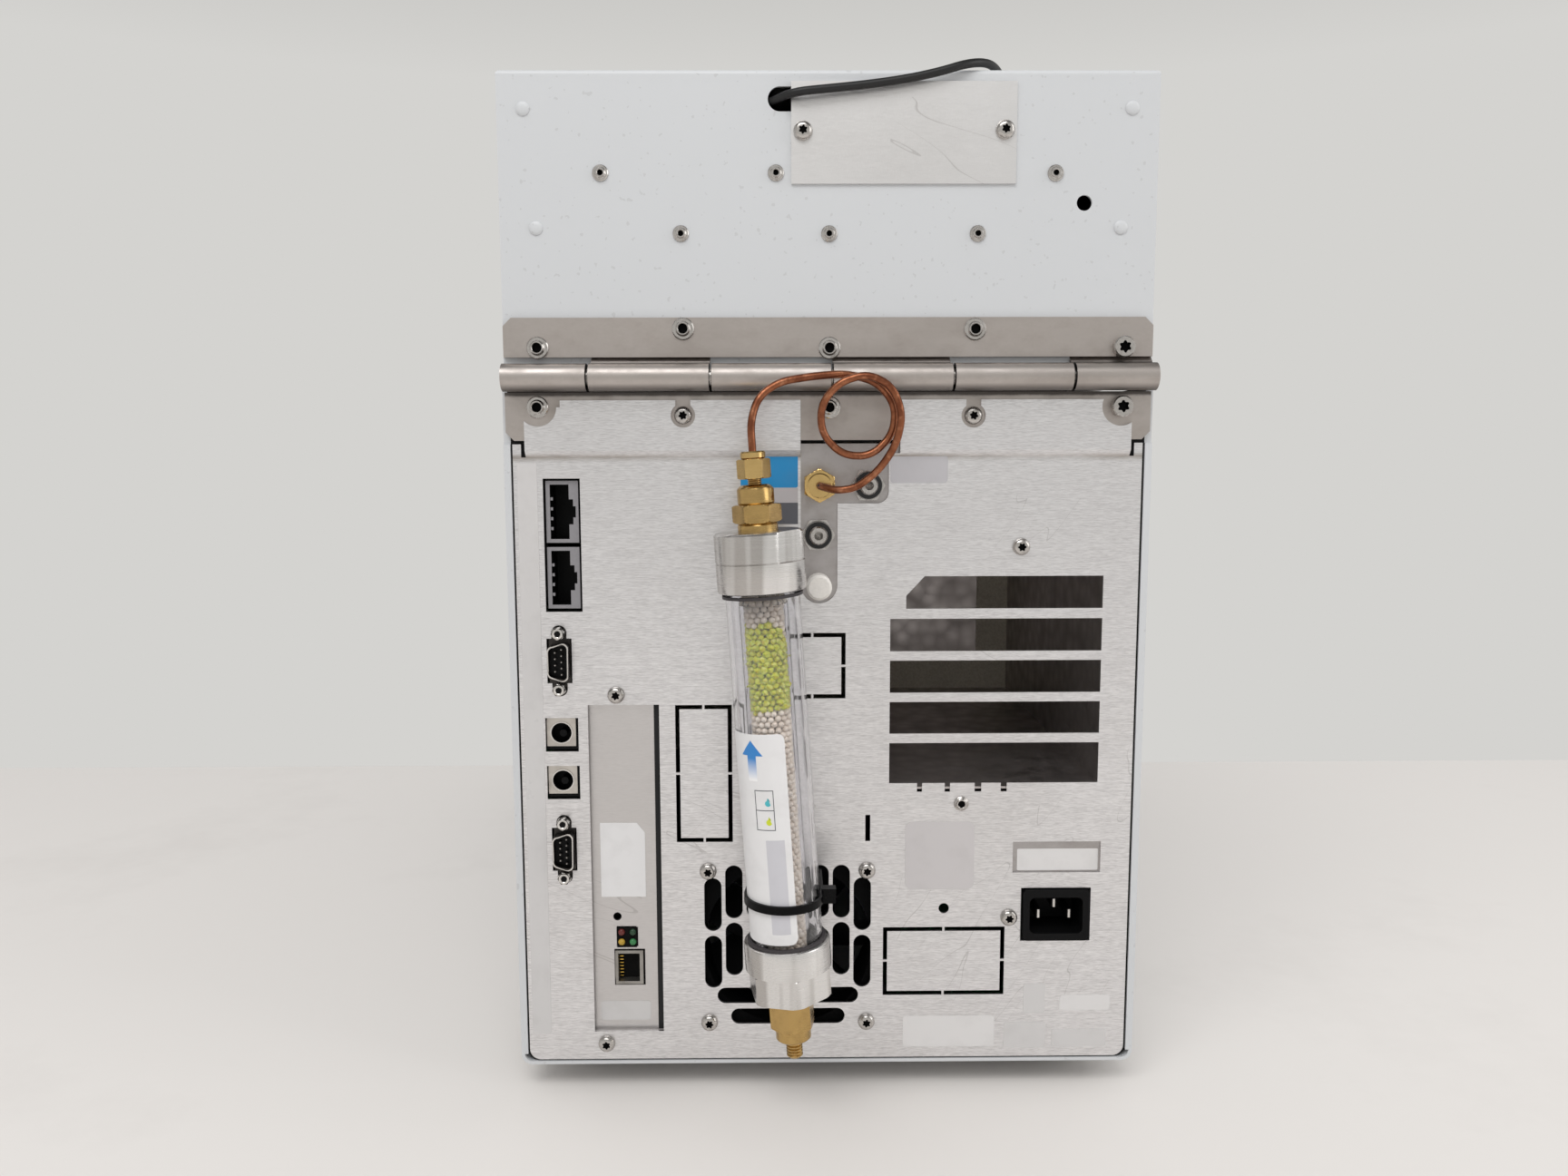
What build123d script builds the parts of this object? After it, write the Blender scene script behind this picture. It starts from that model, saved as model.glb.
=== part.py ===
from build123d import *
import os
from math import cos, sin, tan, radians, sqrt, pi

# Compact top-opening gas chromatograph. Millimetres, +Z up, front towards -Y.
# Rear features are drawn in the REAR plane: u to the right as seen from behind,
# v up from the case's bottom edge, and out away from the rear panel's face.

# ---- driving dimensions: case ----
CASE_WIDTH = 280.0
CASE_DEPTH = 540.0          # front cover's face to rear panel's face
FOOT_HEIGHT = 12.0
BODY_HEIGHT = 306.0         # case bottom to the body's upper edge
LID_HEIGHT = 131.0          # body's upper edge to the lid's top sheet
LID_GAP = 2.0               # between the body's edge and the lid's edge
LID_INSET = 1.0             # lid's side stands in from the body's side
CASE_SHEET = 1.5
CASE_HEM = 3.0              # doubled sheet at the rear edge
HEM_DEPTH = 14.0
CASE_CORNER = 5.0
FRAME_SHEET = 1.5
FRAME_SIDE = 10.0
PANEL_SHEET = 1.2
BEZEL_DEPTH = 32.0
BEZEL_WALL = 2.5
BEZEL_CORNER = 12.0
SEAT = 0.3                  # clearance between pieces that don't touch

# ---- driving dimensions: hinge ----
HINGE_RISE = 3.9            # axis above the body's upper edge
BARREL_RADIUS = 5.85
PIN_RADIUS = 3.4
PIN_FIT = 0.05
LEAF_SHEET = 2.4
HINGE_SETBACK = 1.5         # leaf's ends inside the case's sides
KNUCKLE_ENDS = (1.7, 1.1)   # outer knuckles inside the case's sides
KNUCKLE_SPLITS = [-101.9, -50.2, 1.1, 52.4, 103.1]
KNUCKLE_GAP = 0.9
LOWER_LEAF_DROP = (22.5, 2.0)   # leaf's edges below the body's upper edge
UPPER_LEAF_RISE = (12.7, 29.3)  # leaf's edges above the body's upper edge

# ---- driving dimensions: moisture trap ----
TRAP_REACH = 30.0           # axis in front of the rear panel
TRAP_OFFSET = 2.7           # foot of the axis to the right of the fan's centre
TRAP_FOOT_V = 19.4
TRAP_TILT = 3.72            # degrees from upright, leaning to the left
TRAP_CAP_RADIUS = 18.4
TRAP_TUBE_RADIUS = 15.4
TRAP_BORE_RADIUS = 9.3
TRAP_LOW_CAP = (21.6, 53.7)
TRAP_HIGH_CAP = (202.0, 226.6)
TRAP_LENGTH = 260.0
TUBE_RADIUS = 3.175 / 2     # copper tube, one eighth of an inch across

# ---- driving dimensions: oven ----
OVEN_SIDE_GAP = 7.5         # insulation to the case's side sheet
OVEN_DEPTH = 240.0
OVEN_HEIGHT = 188.0
OVEN_LINER_SHEET = 1.0
OVEN_INSULATION = 23.0
OVEN_DROP = 4.3             # liner's flange below the body's upper edge
GASKET_HEIGHT = 4.0
OVEN_FAN_RADIUS = 62.0
OVEN_FAN_DROP = 96.7        # fan's centre below the liner's flange

# ---- driving dimensions: cooling fan ----
FAN_FROM_LEFT = 121.9       # fan's centre to the case's left side
FAN_HEIGHT = 55.5
FAN_SIZE = 80.0
FAN_PITCH = 71.5
FAN_THICK = 25.0
FAN_SPACER = 2.0
FAN_BORE_RADIUS = 38.0
SLOT_WIDTH = 7.8

# ---- worked out ----
TRAP_PROUD = TRAP_REACH + TRAP_CAP_RADIUS
REAR_Y = (CASE_DEPTH - TRAP_PROUD) / 2
FRONT_Y = REAR_Y - CASE_DEPTH
HALF = CASE_WIDTH / 2
HINGE_HEIGHT = BODY_HEIGHT + HINGE_RISE
HINGE_HALF = HALF - HINGE_SETBACK
KNUCKLES = [KNUCKLE_ENDS[0] - HALF, *KNUCKLE_SPLITS, HALF - KNUCKLE_ENDS[1]]
LOWER_LEAF = (BODY_HEIGHT - LOWER_LEAF_DROP[0], BODY_HEIGHT - LOWER_LEAF_DROP[1])
UPPER_LEAF = (BODY_HEIGHT + UPPER_LEAF_RISE[0], BODY_HEIGHT + UPPER_LEAF_RISE[1])
FAN_CENTRE = (FAN_FROM_LEFT - HALF, FAN_HEIGHT)
TRAP_FOOT = (FAN_CENTRE[0] + TRAP_OFFSET, TRAP_FOOT_V)
OVEN_WIDTH = CASE_WIDTH - 2 * (CASE_SHEET + OVEN_SIDE_GAP + OVEN_INSULATION)
OVEN_TOP = BODY_HEIGHT - OVEN_DROP
SHELL_FRONT = FRONT_Y + BEZEL_DEPTH
OVEN_FRONT_Y = SHELL_FRONT + CASE_SHEET + SEAT + OVEN_INSULATION
OVEN_BACK_Y = OVEN_FRONT_Y + OVEN_DEPTH
STONE_BACK_Y = OVEN_BACK_Y + OVEN_INSULATION
FLOOR_TOP = CASE_SHEET
BACK = -PANEL_SHEET                       # rear panel's inner face
FRAME_BACK = BACK - FRAME_SHEET
LEAF_OUT = BACK + LEAF_SHEET
HINGE_OUT = LEAF_OUT + BARREL_RADIUS
LID_HALF = HALF - LID_INSET
LID_TOP = BODY_HEIGHT + LID_HEIGHT
LID_BOTTOM = BODY_HEIGHT + LID_GAP
REAR = Plane(origin=(0, REAR_Y, FOOT_HEIGHT), x_dir=(-1, 0, 0), z_dir=(0, 1, 0)).location
REAR_TRAP = REAR * Pos(TRAP_FOOT[0], TRAP_FOOT[1], TRAP_REACH) * Rot(0, 0, TRAP_TILT) * Rot(-90, 0, 0)

parts = {}


def up(v):
    """Height above the ground of a height above the case's bottom edge."""
    return v + FOOT_HEIGHT


def from_left(distance):
    """u at a distance inside the case's left side, as seen from behind."""
    return distance - HALF


def from_right(distance):
    """u at a distance inside the case's right side, as seen from behind."""
    return HALF - distance


def from_top(distance):
    """v at a distance below the body's upper edge."""
    return BODY_HEIGHT - distance


def block(x, y, z):
    """Box between the (low, high) pairs x, y and z."""
    size = Box(x[1] - x[0], y[1] - y[0], z[1] - z[0])
    return Pos((x[0] + x[1]) / 2, (y[0] + y[1]) / 2, (z[0] + z[1]) / 2) * size


def window(u, v, corner=0.0):
    """Rectangle between the (low, high) pairs u and v, with rounded corners if asked."""
    centre = Pos((u[0] + u[1]) / 2, (v[0] + v[1]) / 2)
    if corner:
        return centre * RectangleRounded(u[1] - u[0], v[1] - v[0], corner)
    return centre * Rectangle(u[1] - u[0], v[1] - v[0])


def polygon(*points):
    return make_face(Polyline(*points, close=True))


def layer(sketch, low, high):
    """The sketch as a plate between two distances out of its plane."""
    return extrude(Pos(0, 0, low) * sketch, amount=high - low)


def disc(u, v, radius, low, high):
    return Pos(u, v, (low + high) / 2) * Cylinder(radius, high - low)


def hexagon(across_flats):
    return RegularPolygon(across_flats / sqrt(3), 6)


def joined(shapes):
    """One shape of many: touching ones fuse, the others stay separate solids."""
    total = shapes[0]
    for shape in shapes[1:]:
        total = total + shape
    return total


def turned(*profile):
    """Solid of revolution about Z from (radius, height) corners."""
    return revolve(make_face(Plane.XZ * Polyline(*profile, close=True)), Axis.Z)


def smooth_route(points):
    """Straight runs joined by the largest even arcs that the runs allow."""
    corners = [Vector(*p) for p in points]
    radii = []
    for before, here, after in zip(corners, corners[1:], corners[2:]):
        first, second = here - before, after - here
        turn = radians(first.get_angle(second))
        radii.append(0.45 * min(first.length, second.length) / tan(turn / 2))
    return FilletPolyline(*points, radius=radii), radii


def tube_along(points, radius):
    """Round bar along a route of runs and arcs."""
    route, radii = smooth_route(points)
    section = Plane(origin=route @ 0, z_dir=route % 0) * Circle(radius)
    bar = sweep(section, path=route)
    ratio = bar.volume / (pi * radius**2 * route.length)
    print(f"route {route.length:.1f} mm, radii {[round(r, 1) for r in radii]}, volume ratio {ratio:.4f}")
    return bar


def node(name, shape):
    parts[name] = shape


# ---- case ----
FOOT_RADIUS = 12.0
FOOT_INSET = 38.0
VENT_SLOT = (34.0, 4.0)
VENT_ROWS = 7
VENT_PITCH = 10.0
VENT_AT = (-62.0, 120.0)                  # out and v of the lowest side vent
SHELL_BACK = SHELL_FRONT - REAR_Y         # out of the case's front edge


def build_case():
    outline = window((-HALF, HALF), (0, BODY_HEIGHT))
    outline = fillet(outline.vertices().sort_by(Axis.Y)[:2], CASE_CORNER)
    inside = window((-HALF + CASE_SHEET, HALF - CASE_SHEET), (CASE_SHEET, 2 * BODY_HEIGHT))
    inside = fillet(inside.vertices().sort_by(Axis.Y)[:2], CASE_CORNER - CASE_SHEET)
    shell = layer(outline - inside, SHELL_BACK, 0)
    for side in (-1, 1):
        hem = sorted((side * (HALF - CASE_SHEET), side * (HALF - CASE_HEM)))
        shell += layer(window(hem, (CASE_CORNER, BODY_HEIGHT)), -HEM_DEPTH, 0)
    shell -= layer(window((-HALF, HALF), (SHOULDER_TOP, BODY_HEIGHT)), BACK, 1)
    for row in range(VENT_ROWS):
        centre = Pos(-HALF, VENT_AT[1] + row * VENT_PITCH, VENT_AT[0])
        slot = extrude(Rot(0, 90, 0) * SlotOverall(VENT_SLOT[0], VENT_SLOT[1]), amount=4, both=True)
        shell -= centre * slot
    node("case_shell", REAR * shell)

    foot = Cone(FOOT_RADIUS - 2, FOOT_RADIUS, FOOT_HEIGHT)
    near, far = SHELL_FRONT + FOOT_INSET, REAR_Y - FOOT_INSET
    spots = [(x, y) for x in (-HALF + FOOT_INSET, HALF - FOOT_INSET) for y in (near, far)]
    node("feet", joined([Pos(x, y, FOOT_HEIGHT / 2) * foot for x, y in spots]))


# ---- rear frame and panel ----
SHOULDER_TOP = from_top(24)
FRAME_TOP = LOWER_LEAF[1]
FRAME_WINDOW = ((from_left(13.5), from_right(14)), (13.0, from_top(23.2)))
PANEL_SIDES = (from_left(3.9), from_right(4.1))
PANEL_BOTTOM = 2.4
PANEL_TOP = from_top(29.6)
FLANGE_TOP = from_top(5.4)
FLANGE_SIDES = (from_left(9.6), from_right(9.8))
FLANGE_GAP = (-12.1, 30.8)
JOGGLE = (from_top(29.7), from_top(25.2))
CORNER_NOTCH = 8.2
SCREW_NOTCH = 5.2
NOTCH_SLOT = 6.4
BAND = 1.9
TAB = 1.0

LOWER_STUDS = [(from_left(15.4), from_top(8.3)), (0.4, from_top(8.6))]
LOWER_PANS = [(-62.4, from_top(11.9)), (62.1, from_top(12.2))]
LOWER_CAP = (from_right(14.5), from_top(8.5))
UPPER_STUDS = [(from_left(16.1), BODY_HEIGHT + 16.6), (-62.0, BODY_HEIGHT + 24.5), (0.3, BODY_HEIGHT + 16.4),
               (62.3, BODY_HEIGHT + 24.2)]
UPPER_CAP = (from_right(14.5), BODY_HEIGHT + 16.5)

INJECTOR_WINDOW = ((from_left(16.5), from_left(32.5)), (from_top(96.8), from_top(38.7)))
CARD_WINDOW = ((from_left(33.7), from_left(65.2)), (15.6, 167.6))
VOLTAGE_WINDOW = ((from_right(56.7), from_right(17.1)), (89.7, 104.1))
MAINS_WINDOW = ((from_right(52.6), from_right(21)), (57.6, 82.5))
SERIAL_PORTS = [(from_left(21.8), from_top(118.6)), (from_left(22), from_top(204.2))]
SERIAL_BODY = (11.0, 19.9)                # width and height of the panel's cut-out
SERIAL_LOBE = 3.35
SERIAL_PITCH = 24.99
ROUND_SOCKETS = [(from_left(22.1), from_top(151.8)), (from_left(22.3), from_top(173.5))]
ROUND_WINDOW = (14.6, 15.2)
GAS_LEFT, GAS_RIGHT, GAS_STEP = -12.0, 26.2, 4.0
GAS_STEP_V, GAS_BOTTOM_V = from_top(49.8), from_top(93.4)
VENT_SIDES = (27.3, from_right(19.4))
VENTS = [(from_top(114.9), from_top(100.5)), (from_top(133.5), from_top(119.1)),
         (from_top(152), from_top(137.7)), (from_top(174.6), from_top(156.3))]
TOP_VENT = ((34.2, from_right(19.4)), (from_top(96), from_top(81.7)), (8.0, 8.6))
VENT_TABS = [(39.8, 42.1), (52.2, 54.6), (65.6, 68.6), (77.3, 80.0)]
VENT_TAB_BOTTOM = from_top(178.6)
INNER_SLOTS = 14.7
FAN_SLOTS = [(-33.7, 36.3, 60.9), (-33.7, 63.2, 87.9), (-24.2, 42.2, 67.0), (-24.2, 69.1, 93.8),
             (-INNER_SLOTS, 69.5, 93.8), (INNER_SLOTS, 69.5, 93.8), (24.2, 42.2, 67.0), (24.2, 69.1, 93.8),
             (33.7, 36.3, 60.9), (33.7, 63.2, 87.9)]
FAN_CROSS_SLOTS = [(18.9, 26.2, 25.9), (28.8, 36.2, 32.0)]
CARD_SCREWS = [(from_left(46.4), 172.1), (from_left(39.1), 10.0)]
PANEL_FIXINGS = [(from_right(55.8), from_top(68.9)), (from_right(58), 68.8)]
PANEL_STANDOFF = (59.7, 121.9)
KEY_SLOT = ((16.8, 19.0), (104.8, 116.9))
KNOCKOUTS = [((from_left(72.3), from_left(97.4)), (104.8, 167.4), from_left(84.8), 136.3),
             ((-22.1, 7.7), (from_top(135.9), from_top(106.6)), -7.0, from_top(121.3)),
             ((25.1, 80.3), (32.2, 64.4), 52.5, 48.6)]
SPARE_HOLE = (52.5, 73.2, 2.35)
SCREW_SHANK = 1.5
SCREW_HOLE = 1.7
PAN_RADIUS = 3.8


def fan_screw_spots():
    reach = FAN_PITCH / 2
    return [(FAN_CENTRE[0] + i * reach, FAN_CENTRE[1] + j * reach) for i in (-1, 1) for j in (-1, 1)]


def knockout(u, v, tab_u, tab_v):
    """Rectangular slot band whose middle hangs on four small tabs."""
    band = window(u, v) - window((u[0] + BAND, u[1] - BAND), (v[0] + BAND, v[1] - BAND))
    half = TAB / 2
    band -= window((tab_u - half, tab_u + half), (v[0] - 1, v[1] + 1))
    return band - window((u[0] - 1, u[1] + 1), (tab_v - half, tab_v + half))


def serial_cutout(u, v):
    """Port cut-out with a round lobe for each of its two screws."""
    cut = Pos(u, v) * Rectangle(*SERIAL_BODY)
    return cut + Pos(u, v) * SlotCenterToCenter(SERIAL_PITCH, 2 * SERIAL_LOBE, 90)


def gas_cutout():
    """Stepped opening in front of the gas connections, open at the panel's top."""
    high = window((GAS_LEFT, GAS_RIGHT), (GAS_STEP_V, FLANGE_TOP + 1))
    corner = high.vertices().sort_by(Axis.Y)[:2].sort_by(Axis.X)[-1]
    high = fillet(corner, 5.0)
    low = window((GAS_LEFT, GAS_STEP), (GAS_BOTTOM_V, GAS_STEP_V + 6))
    low = fillet(low.vertices().sort_by(Axis.Y)[:2], 7.9)
    wide = window(FLANGE_GAP, (JOGGLE[0] + 1.5, FLANGE_TOP + 1))
    return high + low + wide


def fan_cutouts():
    cuts = []
    for offset, low, high in FAN_SLOTS:
        place = Pos(FAN_CENTRE[0] + offset, (low + high) / 2)
        cuts.append(place * SlotOverall(high - low, SLOT_WIDTH, 90))
    for low, high, half in FAN_CROSS_SLOTS:
        cuts.append(Pos(FAN_CENTRE[0], (low + high) / 2) * SlotOverall(2 * half, high - low))
    return cuts


def vent_cutouts():
    (left, right), (low, high), (across, drop) = TOP_VENT
    cuts = [polygon((left, low), (right, low), (right, high), (left + across, high), (left, high - drop))]
    cuts += [window(VENT_SIDES, v) for v in VENTS]
    cuts += [window(u, (VENT_TAB_BOTTOM, VENTS[-1][0] + 0.5)) for u in VENT_TABS]
    return cuts


def panel_cutouts():
    cuts = [gas_cutout()]
    for u, v in (INJECTOR_WINDOW, CARD_WINDOW, VOLTAGE_WINDOW, MAINS_WINDOW):
        cuts.append(window(u, v))
    cuts += [serial_cutout(u, v) for u, v in SERIAL_PORTS]
    cuts += [Pos(u, v) * Rectangle(*ROUND_WINDOW) for u, v in ROUND_SOCKETS]
    cuts += [knockout(*spot) for spot in KNOCKOUTS]
    cuts += fan_cutouts() + vent_cutouts()
    cuts.append(window(*KEY_SLOT))
    cuts.append(Pos(SPARE_HOLE[0], SPARE_HOLE[1]) * Circle(SPARE_HOLE[2]))
    cuts.append(Pos(*PANEL_STANDOFF) * Circle(2.0))
    for u, v in fan_screw_spots() + CARD_SCREWS + PANEL_FIXINGS:
        cuts.append(Pos(u, v) * Circle(SCREW_HOLE))
    return cuts


def build_rear():
    frame = window((-HALF + CASE_HEM, HALF - CASE_HEM), (FLOOR_TOP, FRAME_TOP))
    frame = fillet(frame.vertices().sort_by(Axis.Y)[:2], CASE_CORNER)
    frame -= window(*FRAME_WINDOW)
    for u, v in CARD_SCREWS:
        frame -= Pos(u, v) * Circle(SCREW_HOLE)
    stand_top = OVEN_FLOOR - OVEN_INSULATION
    rails = window((-STAND_WIDTH / 2, STAND_WIDTH / 2), (FLOOR_TOP, stand_top))
    rails -= window((-STAND_WIDTH / 2 + 2, STAND_WIDTH), (FLOOR_TOP + 2, stand_top - 2))
    rail = layer(rails, OVEN_FRONT_Y - 10 - REAR_Y, STONE_BACK_Y - 10 - REAR_Y)
    front = window((-HALF + CASE_SHEET, HALF - CASE_SHEET), (FLOOR_TOP, FRAME_TOP))
    front = fillet(front.vertices().sort_by(Axis.Y)[:2], CASE_CORNER)
    solids = [layer(frame, FRAME_BACK, BACK), layer(front, SHELL_BACK, SHELL_BACK + CASE_SHEET),
              Pos(-STAND_SPREAD, 0, 0) * rail, Pos(STAND_SPREAD, 0, 0) * mirror(rail, Plane.YZ)]
    node("chassis_frame", REAR * joined(solids))

    flat = window(PANEL_SIDES, (PANEL_BOTTOM, PANEL_TOP))
    flat = fillet(flat.vertices().sort_by(Axis.Y)[:2], CASE_CORNER)
    panel = layer(flat, BACK, 0)
    for side in PANEL_SIDES:
        ends = sorted((side, side * 0.973))
        panel += layer(window(ends, (PANEL_TOP, SHOULDER_TOP)), BACK, 0)
    flange = window(FLANGE_SIDES, (JOGGLE[1], FLANGE_TOP))
    for u, v in (LOWER_STUDS[0], LOWER_CAP):
        outer = sorted((u * 1.2, u - CORNER_NOTCH * (1 if u > 0 else -1) + 1.5))
        flange -= Pos(u, v) * Circle(CORNER_NOTCH)
        flange -= window(outer, (v, FLANGE_TOP + 1))
    for u, v in LOWER_PANS:
        flange -= Pos(u, v) * Circle(SCREW_NOTCH)
        flange -= window((u - NOTCH_SLOT / 2, u + NOTCH_SLOT / 2), (v, FLANGE_TOP + 1))
    panel += layer(flange, LEAF_OUT, LEAF_OUT + PANEL_SHEET)
    low, high = JOGGLE
    step = [(low, BACK), (low, 0), (low + 2.9, LEAF_OUT + PANEL_SHEET), (high, LEAF_OUT + PANEL_SHEET),
            (high, LEAF_OUT), (low + 3.4, LEAF_OUT)]
    panel += extrude(Plane.YZ.offset(FLANGE_SIDES[0]) * polygon(*step),
                     amount=FLANGE_SIDES[1] - FLANGE_SIDES[0])
    for cut in panel_cutouts():
        panel -= layer(cut, BACK - 1, LEAF_OUT + PANEL_SHEET + 1)
    node("rear_panel", REAR * panel)


def pan_screw(u, v, seat, length=0.0, radius=PAN_RADIUS):
    """Domed head on its seat, with a shank where the screw passes a sheet."""
    head = turned((0, 0), (radius, 0), (radius, 0.3 * radius), (0.8 * radius, 0.58 * radius), (0, 0.66 * radius))
    if length:
        head += disc(0, 0, SCREW_SHANK, -length, 0)
    return Pos(u, v, seat) * head


def build_panel_screws():
    screws = [pan_screw(u, v, 0, FAN_SPACER + 6) for u, v in fan_screw_spots()]
    screws += [pan_screw(u, v, 0, 4.5) for u, v in CARD_SCREWS + PANEL_FIXINGS]
    screws += [stud(u, v) for u, v in LOWER_STUDS] + [cap_screw(*LOWER_CAP)]
    screws += [pan_screw(u, v, LEAF_OUT) for u, v in LOWER_PANS]
    node("rear_fixings", REAR * joined(screws))


# ---- hinge ----
STUD_FLANGE = 4.7
STUD_TUBE = 2.9
STUD_HOLE = 2.0
STUD_TALL = 2.6
CAP_HEAD = 4.5


def stud(u, v):
    ring = turned((STUD_HOLE, 0), (STUD_FLANGE, 0), (STUD_FLANGE, 0.9), (STUD_TUBE, 0.9),
                  (STUD_TUBE, STUD_TALL), (STUD_HOLE, STUD_TALL))
    return Pos(u, v, LEAF_OUT) * ring


def cap_screw(u, v):
    head = turned((0, 0), (CAP_HEAD, 0), (CAP_HEAD, 4.0), (CAP_HEAD - 0.5, 4.5), (2.3, 4.5), (2.3, 2.0), (0, 2.0))
    return Pos(u, v, LEAF_OUT) * head


def knuckle_run(first):
    """Every other knuckle, as (low, high) pairs along the axis."""
    spans = list(zip(KNUCKLES, KNUCKLES[1:]))[first::2]
    half = KNUCKLE_GAP / 2
    return [(low + half, high - half) for low, high in spans]


def leaf(plate_v, chamfered_edge, first, towards):
    """Hinge leaf: a chamfered plate whose knuckles are rolled round the pin."""
    plate = window((-HINGE_HALF, HINGE_HALF), plate_v)
    edge = plate.vertices().sort_by(Axis.Y)
    plate = chamfer(edge[:2] if chamfered_edge == "low" else edge[-2:], 3.5)
    body = layer(plate, BACK, LEAF_OUT)
    near = plate_v[1] if towards > 0 else plate_v[0]
    for low, high in knuckle_run(first):
        ring = Pos(HINGE_HEIGHT, HINGE_OUT) * Circle(BARREL_RADIUS)
        reach = HINGE_HEIGHT - towards * BARREL_RADIUS * 0.5
        neck = polygon((near, BACK), (near + 1.8 * towards, LEAF_OUT), (reach, HINGE_OUT - BARREL_RADIUS * 0.6),
                       (HINGE_HEIGHT, HINGE_OUT), (HINGE_HEIGHT - towards, LEAF_OUT),
                       (near + 1.5 * towards, BACK))
        body += extrude(Plane.YZ.offset(low) * (ring + neck), amount=high - low)
    bore = Pos(HINGE_HEIGHT, HINGE_OUT) * Circle(PIN_RADIUS + PIN_FIT)
    return body - extrude(Plane.YZ.offset(-HALF - 5) * bore, amount=CASE_WIDTH + 10)


def build_hinge():
    lower = leaf(LOWER_LEAF, "low", 0, 1)
    for u, v in LOWER_STUDS:
        lower -= disc(u, v, STUD_HOLE, BACK, LEAF_OUT)
    node("hinge_lower_leaf", REAR * lower)
    upper = leaf(UPPER_LEAF, "high", 1, -1)
    for u, v in UPPER_STUDS:
        upper -= disc(u, v, STUD_HOLE, BACK, LEAF_OUT)
    node("hinge_upper_leaf", REAR * upper)
    pin = Pos(HINGE_HEIGHT, HINGE_OUT) * Circle(PIN_RADIUS)
    ends = KNUCKLES[0], KNUCKLES[-1]
    node("hinge_pin", REAR * extrude(Plane.YZ.offset(ends[0]) * pin, amount=ends[1] - ends[0]))


# ---- gas connections ----
BRACKET_U, BRACKET_V = (-20.0, 33.0), (from_top(102), from_top(24))
BRACKET_NARROW = 12.0                     # right side below the exhaust duct's top
COPPER_PORT = (-4.0, from_top(41.9))
OPEN_PORTS = [(17.3, from_top(42)), (-4.4, from_top(63.5))]
CAPPED_PORT = (-4.2, from_top(85.7))
PORT_BORE = 1.9
PORT_BODY = 4.0
PORT_REACH = 6.0
WASHER = (4.05, 6.0, 1.6)
MANIFOLD_U, MANIFOLD_V = (-16.0, 22.0), (from_top(96), from_top(30))
MANIFOLD_OUT = (-44.0, -14.0)
COPPER_NUT_FLATS = 12.9
COPPER_NUT_OUT = (-1.2, 8.0)
CAP_SIZE = (5.5, 9.5)
TUBE_LEAD = 12.0
TUBE_LANDING = 6.0
# Route of the copper tube: u, v and distance in front of the rear panel.
COPPER_ROUTE = [
    (-29.8, 301.0, 27.5), (-21.0, 307.0, 25.6), (-7.5, 309.3, 23.6),
    (6.5, 310.4, 22.0), (19.0, 307.0, 21.5), (26.6, 297.6, 21.7), (25.6, 285.6, 22.2), (16.4, 276.6, 22.8),
    (4.4, 277.2, 23.6), (-4.0, 286.0, 24.6), (-4.4, 297.6, 25.6), (3.0, 306.6, 26.6), (14.6, 310.0, 27.4),
    (24.6, 305.0, 27.6), (29.0, 294.0, 27.0), (26.8, 281.4, 25.2), (19.6, 270.6, 22.6), (10.5, 263.6, 21.4),
    (2.5, 262.4, 19.4),
]


def trap_axis(distance):
    """Point on the moisture trap's axis, as u, v and distance in front of the panel."""
    lean = radians(TRAP_TILT)
    return (TRAP_FOOT[0] - distance * sin(lean), TRAP_FOOT[1] + distance * cos(lean), TRAP_REACH)


def bulkhead(u, v):
    """Tube union through the bracket, with its hexagon and open end."""
    body = turned((PORT_BORE, 0), (PORT_BODY, 0), (PORT_BODY, 4.4), (3.4, PORT_REACH), (PORT_BORE, PORT_REACH))
    thread = disc(0, 0, PORT_BODY, MANIFOLD_OUT[1], 0) - disc(0, 0, PORT_BORE, MANIFOLD_OUT[1] + 1, 0)
    flats = layer(hexagon(13.0), BACK, BACK + 1.2) - disc(0, 0, PORT_BODY, BACK - 1, BACK + 3)
    return Pos(u, v) * (body + thread + flats)


def build_gas():
    outline = window(BRACKET_U, (DUCT[1][1] + 2, BRACKET_V[1]), 3) + window((BRACKET_U[0], BRACKET_NARROW), BRACKET_V, 3)
    bracket = layer(outline, FRAME_BACK, BACK)
    for u, v in [COPPER_PORT, CAPPED_PORT] + OPEN_PORTS:
        bracket -= disc(u, v, PORT_BODY, FRAME_BACK - 1, BACK + 1)
    node("gas_bracket", REAR * bracket)

    unions = [bulkhead(u, v) for u, v in OPEN_PORTS]
    for u, v in (COPPER_PORT, CAPPED_PORT):
        unions.append(disc(u, v, PORT_BODY, MANIFOLD_OUT[1], BACK))
    inner, outer, thick = WASHER
    ring = turned((inner, 0), (outer, 0), (outer, thick), (inner, thick))
    rings = [Pos(u, v, BACK + 1.2) * ring for u, v in OPEN_PORTS]
    node("gas_bulkheads", REAR * Compound(joined(unions).solids() + rings))
    manifold = layer(window(MANIFOLD_U, MANIFOLD_V, 2), *MANIFOLD_OUT)
    node("gas_manifold", REAR * manifold)

    radius, tall = CAP_SIZE
    cap = turned((0, 0), (radius, 0), (radius, tall - 1), (radius - 1, tall), (0, tall))
    node("gas_port_cap", REAR * Pos(*CAPPED_PORT, BACK) * cap)
    u, v = COPPER_PORT
    low, high = COPPER_NUT_OUT
    nut = layer(hexagon(COPPER_NUT_FLATS), low, high - 1.8) + disc(0, 0, 5.4, high - 1.8, high)
    node("tube_nuts", REAR * Pos(u, v) * nut)
    lead = [trap_axis(TRAP_LENGTH), trap_axis(TRAP_LENGTH + TUBE_LEAD)]
    landing = [(u, v, high + TUBE_LANDING), (u, v, high)]
    node("copper_tube", REAR * tube_along(lead + COPPER_ROUTE + landing, TUBE_RADIUS))


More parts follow.
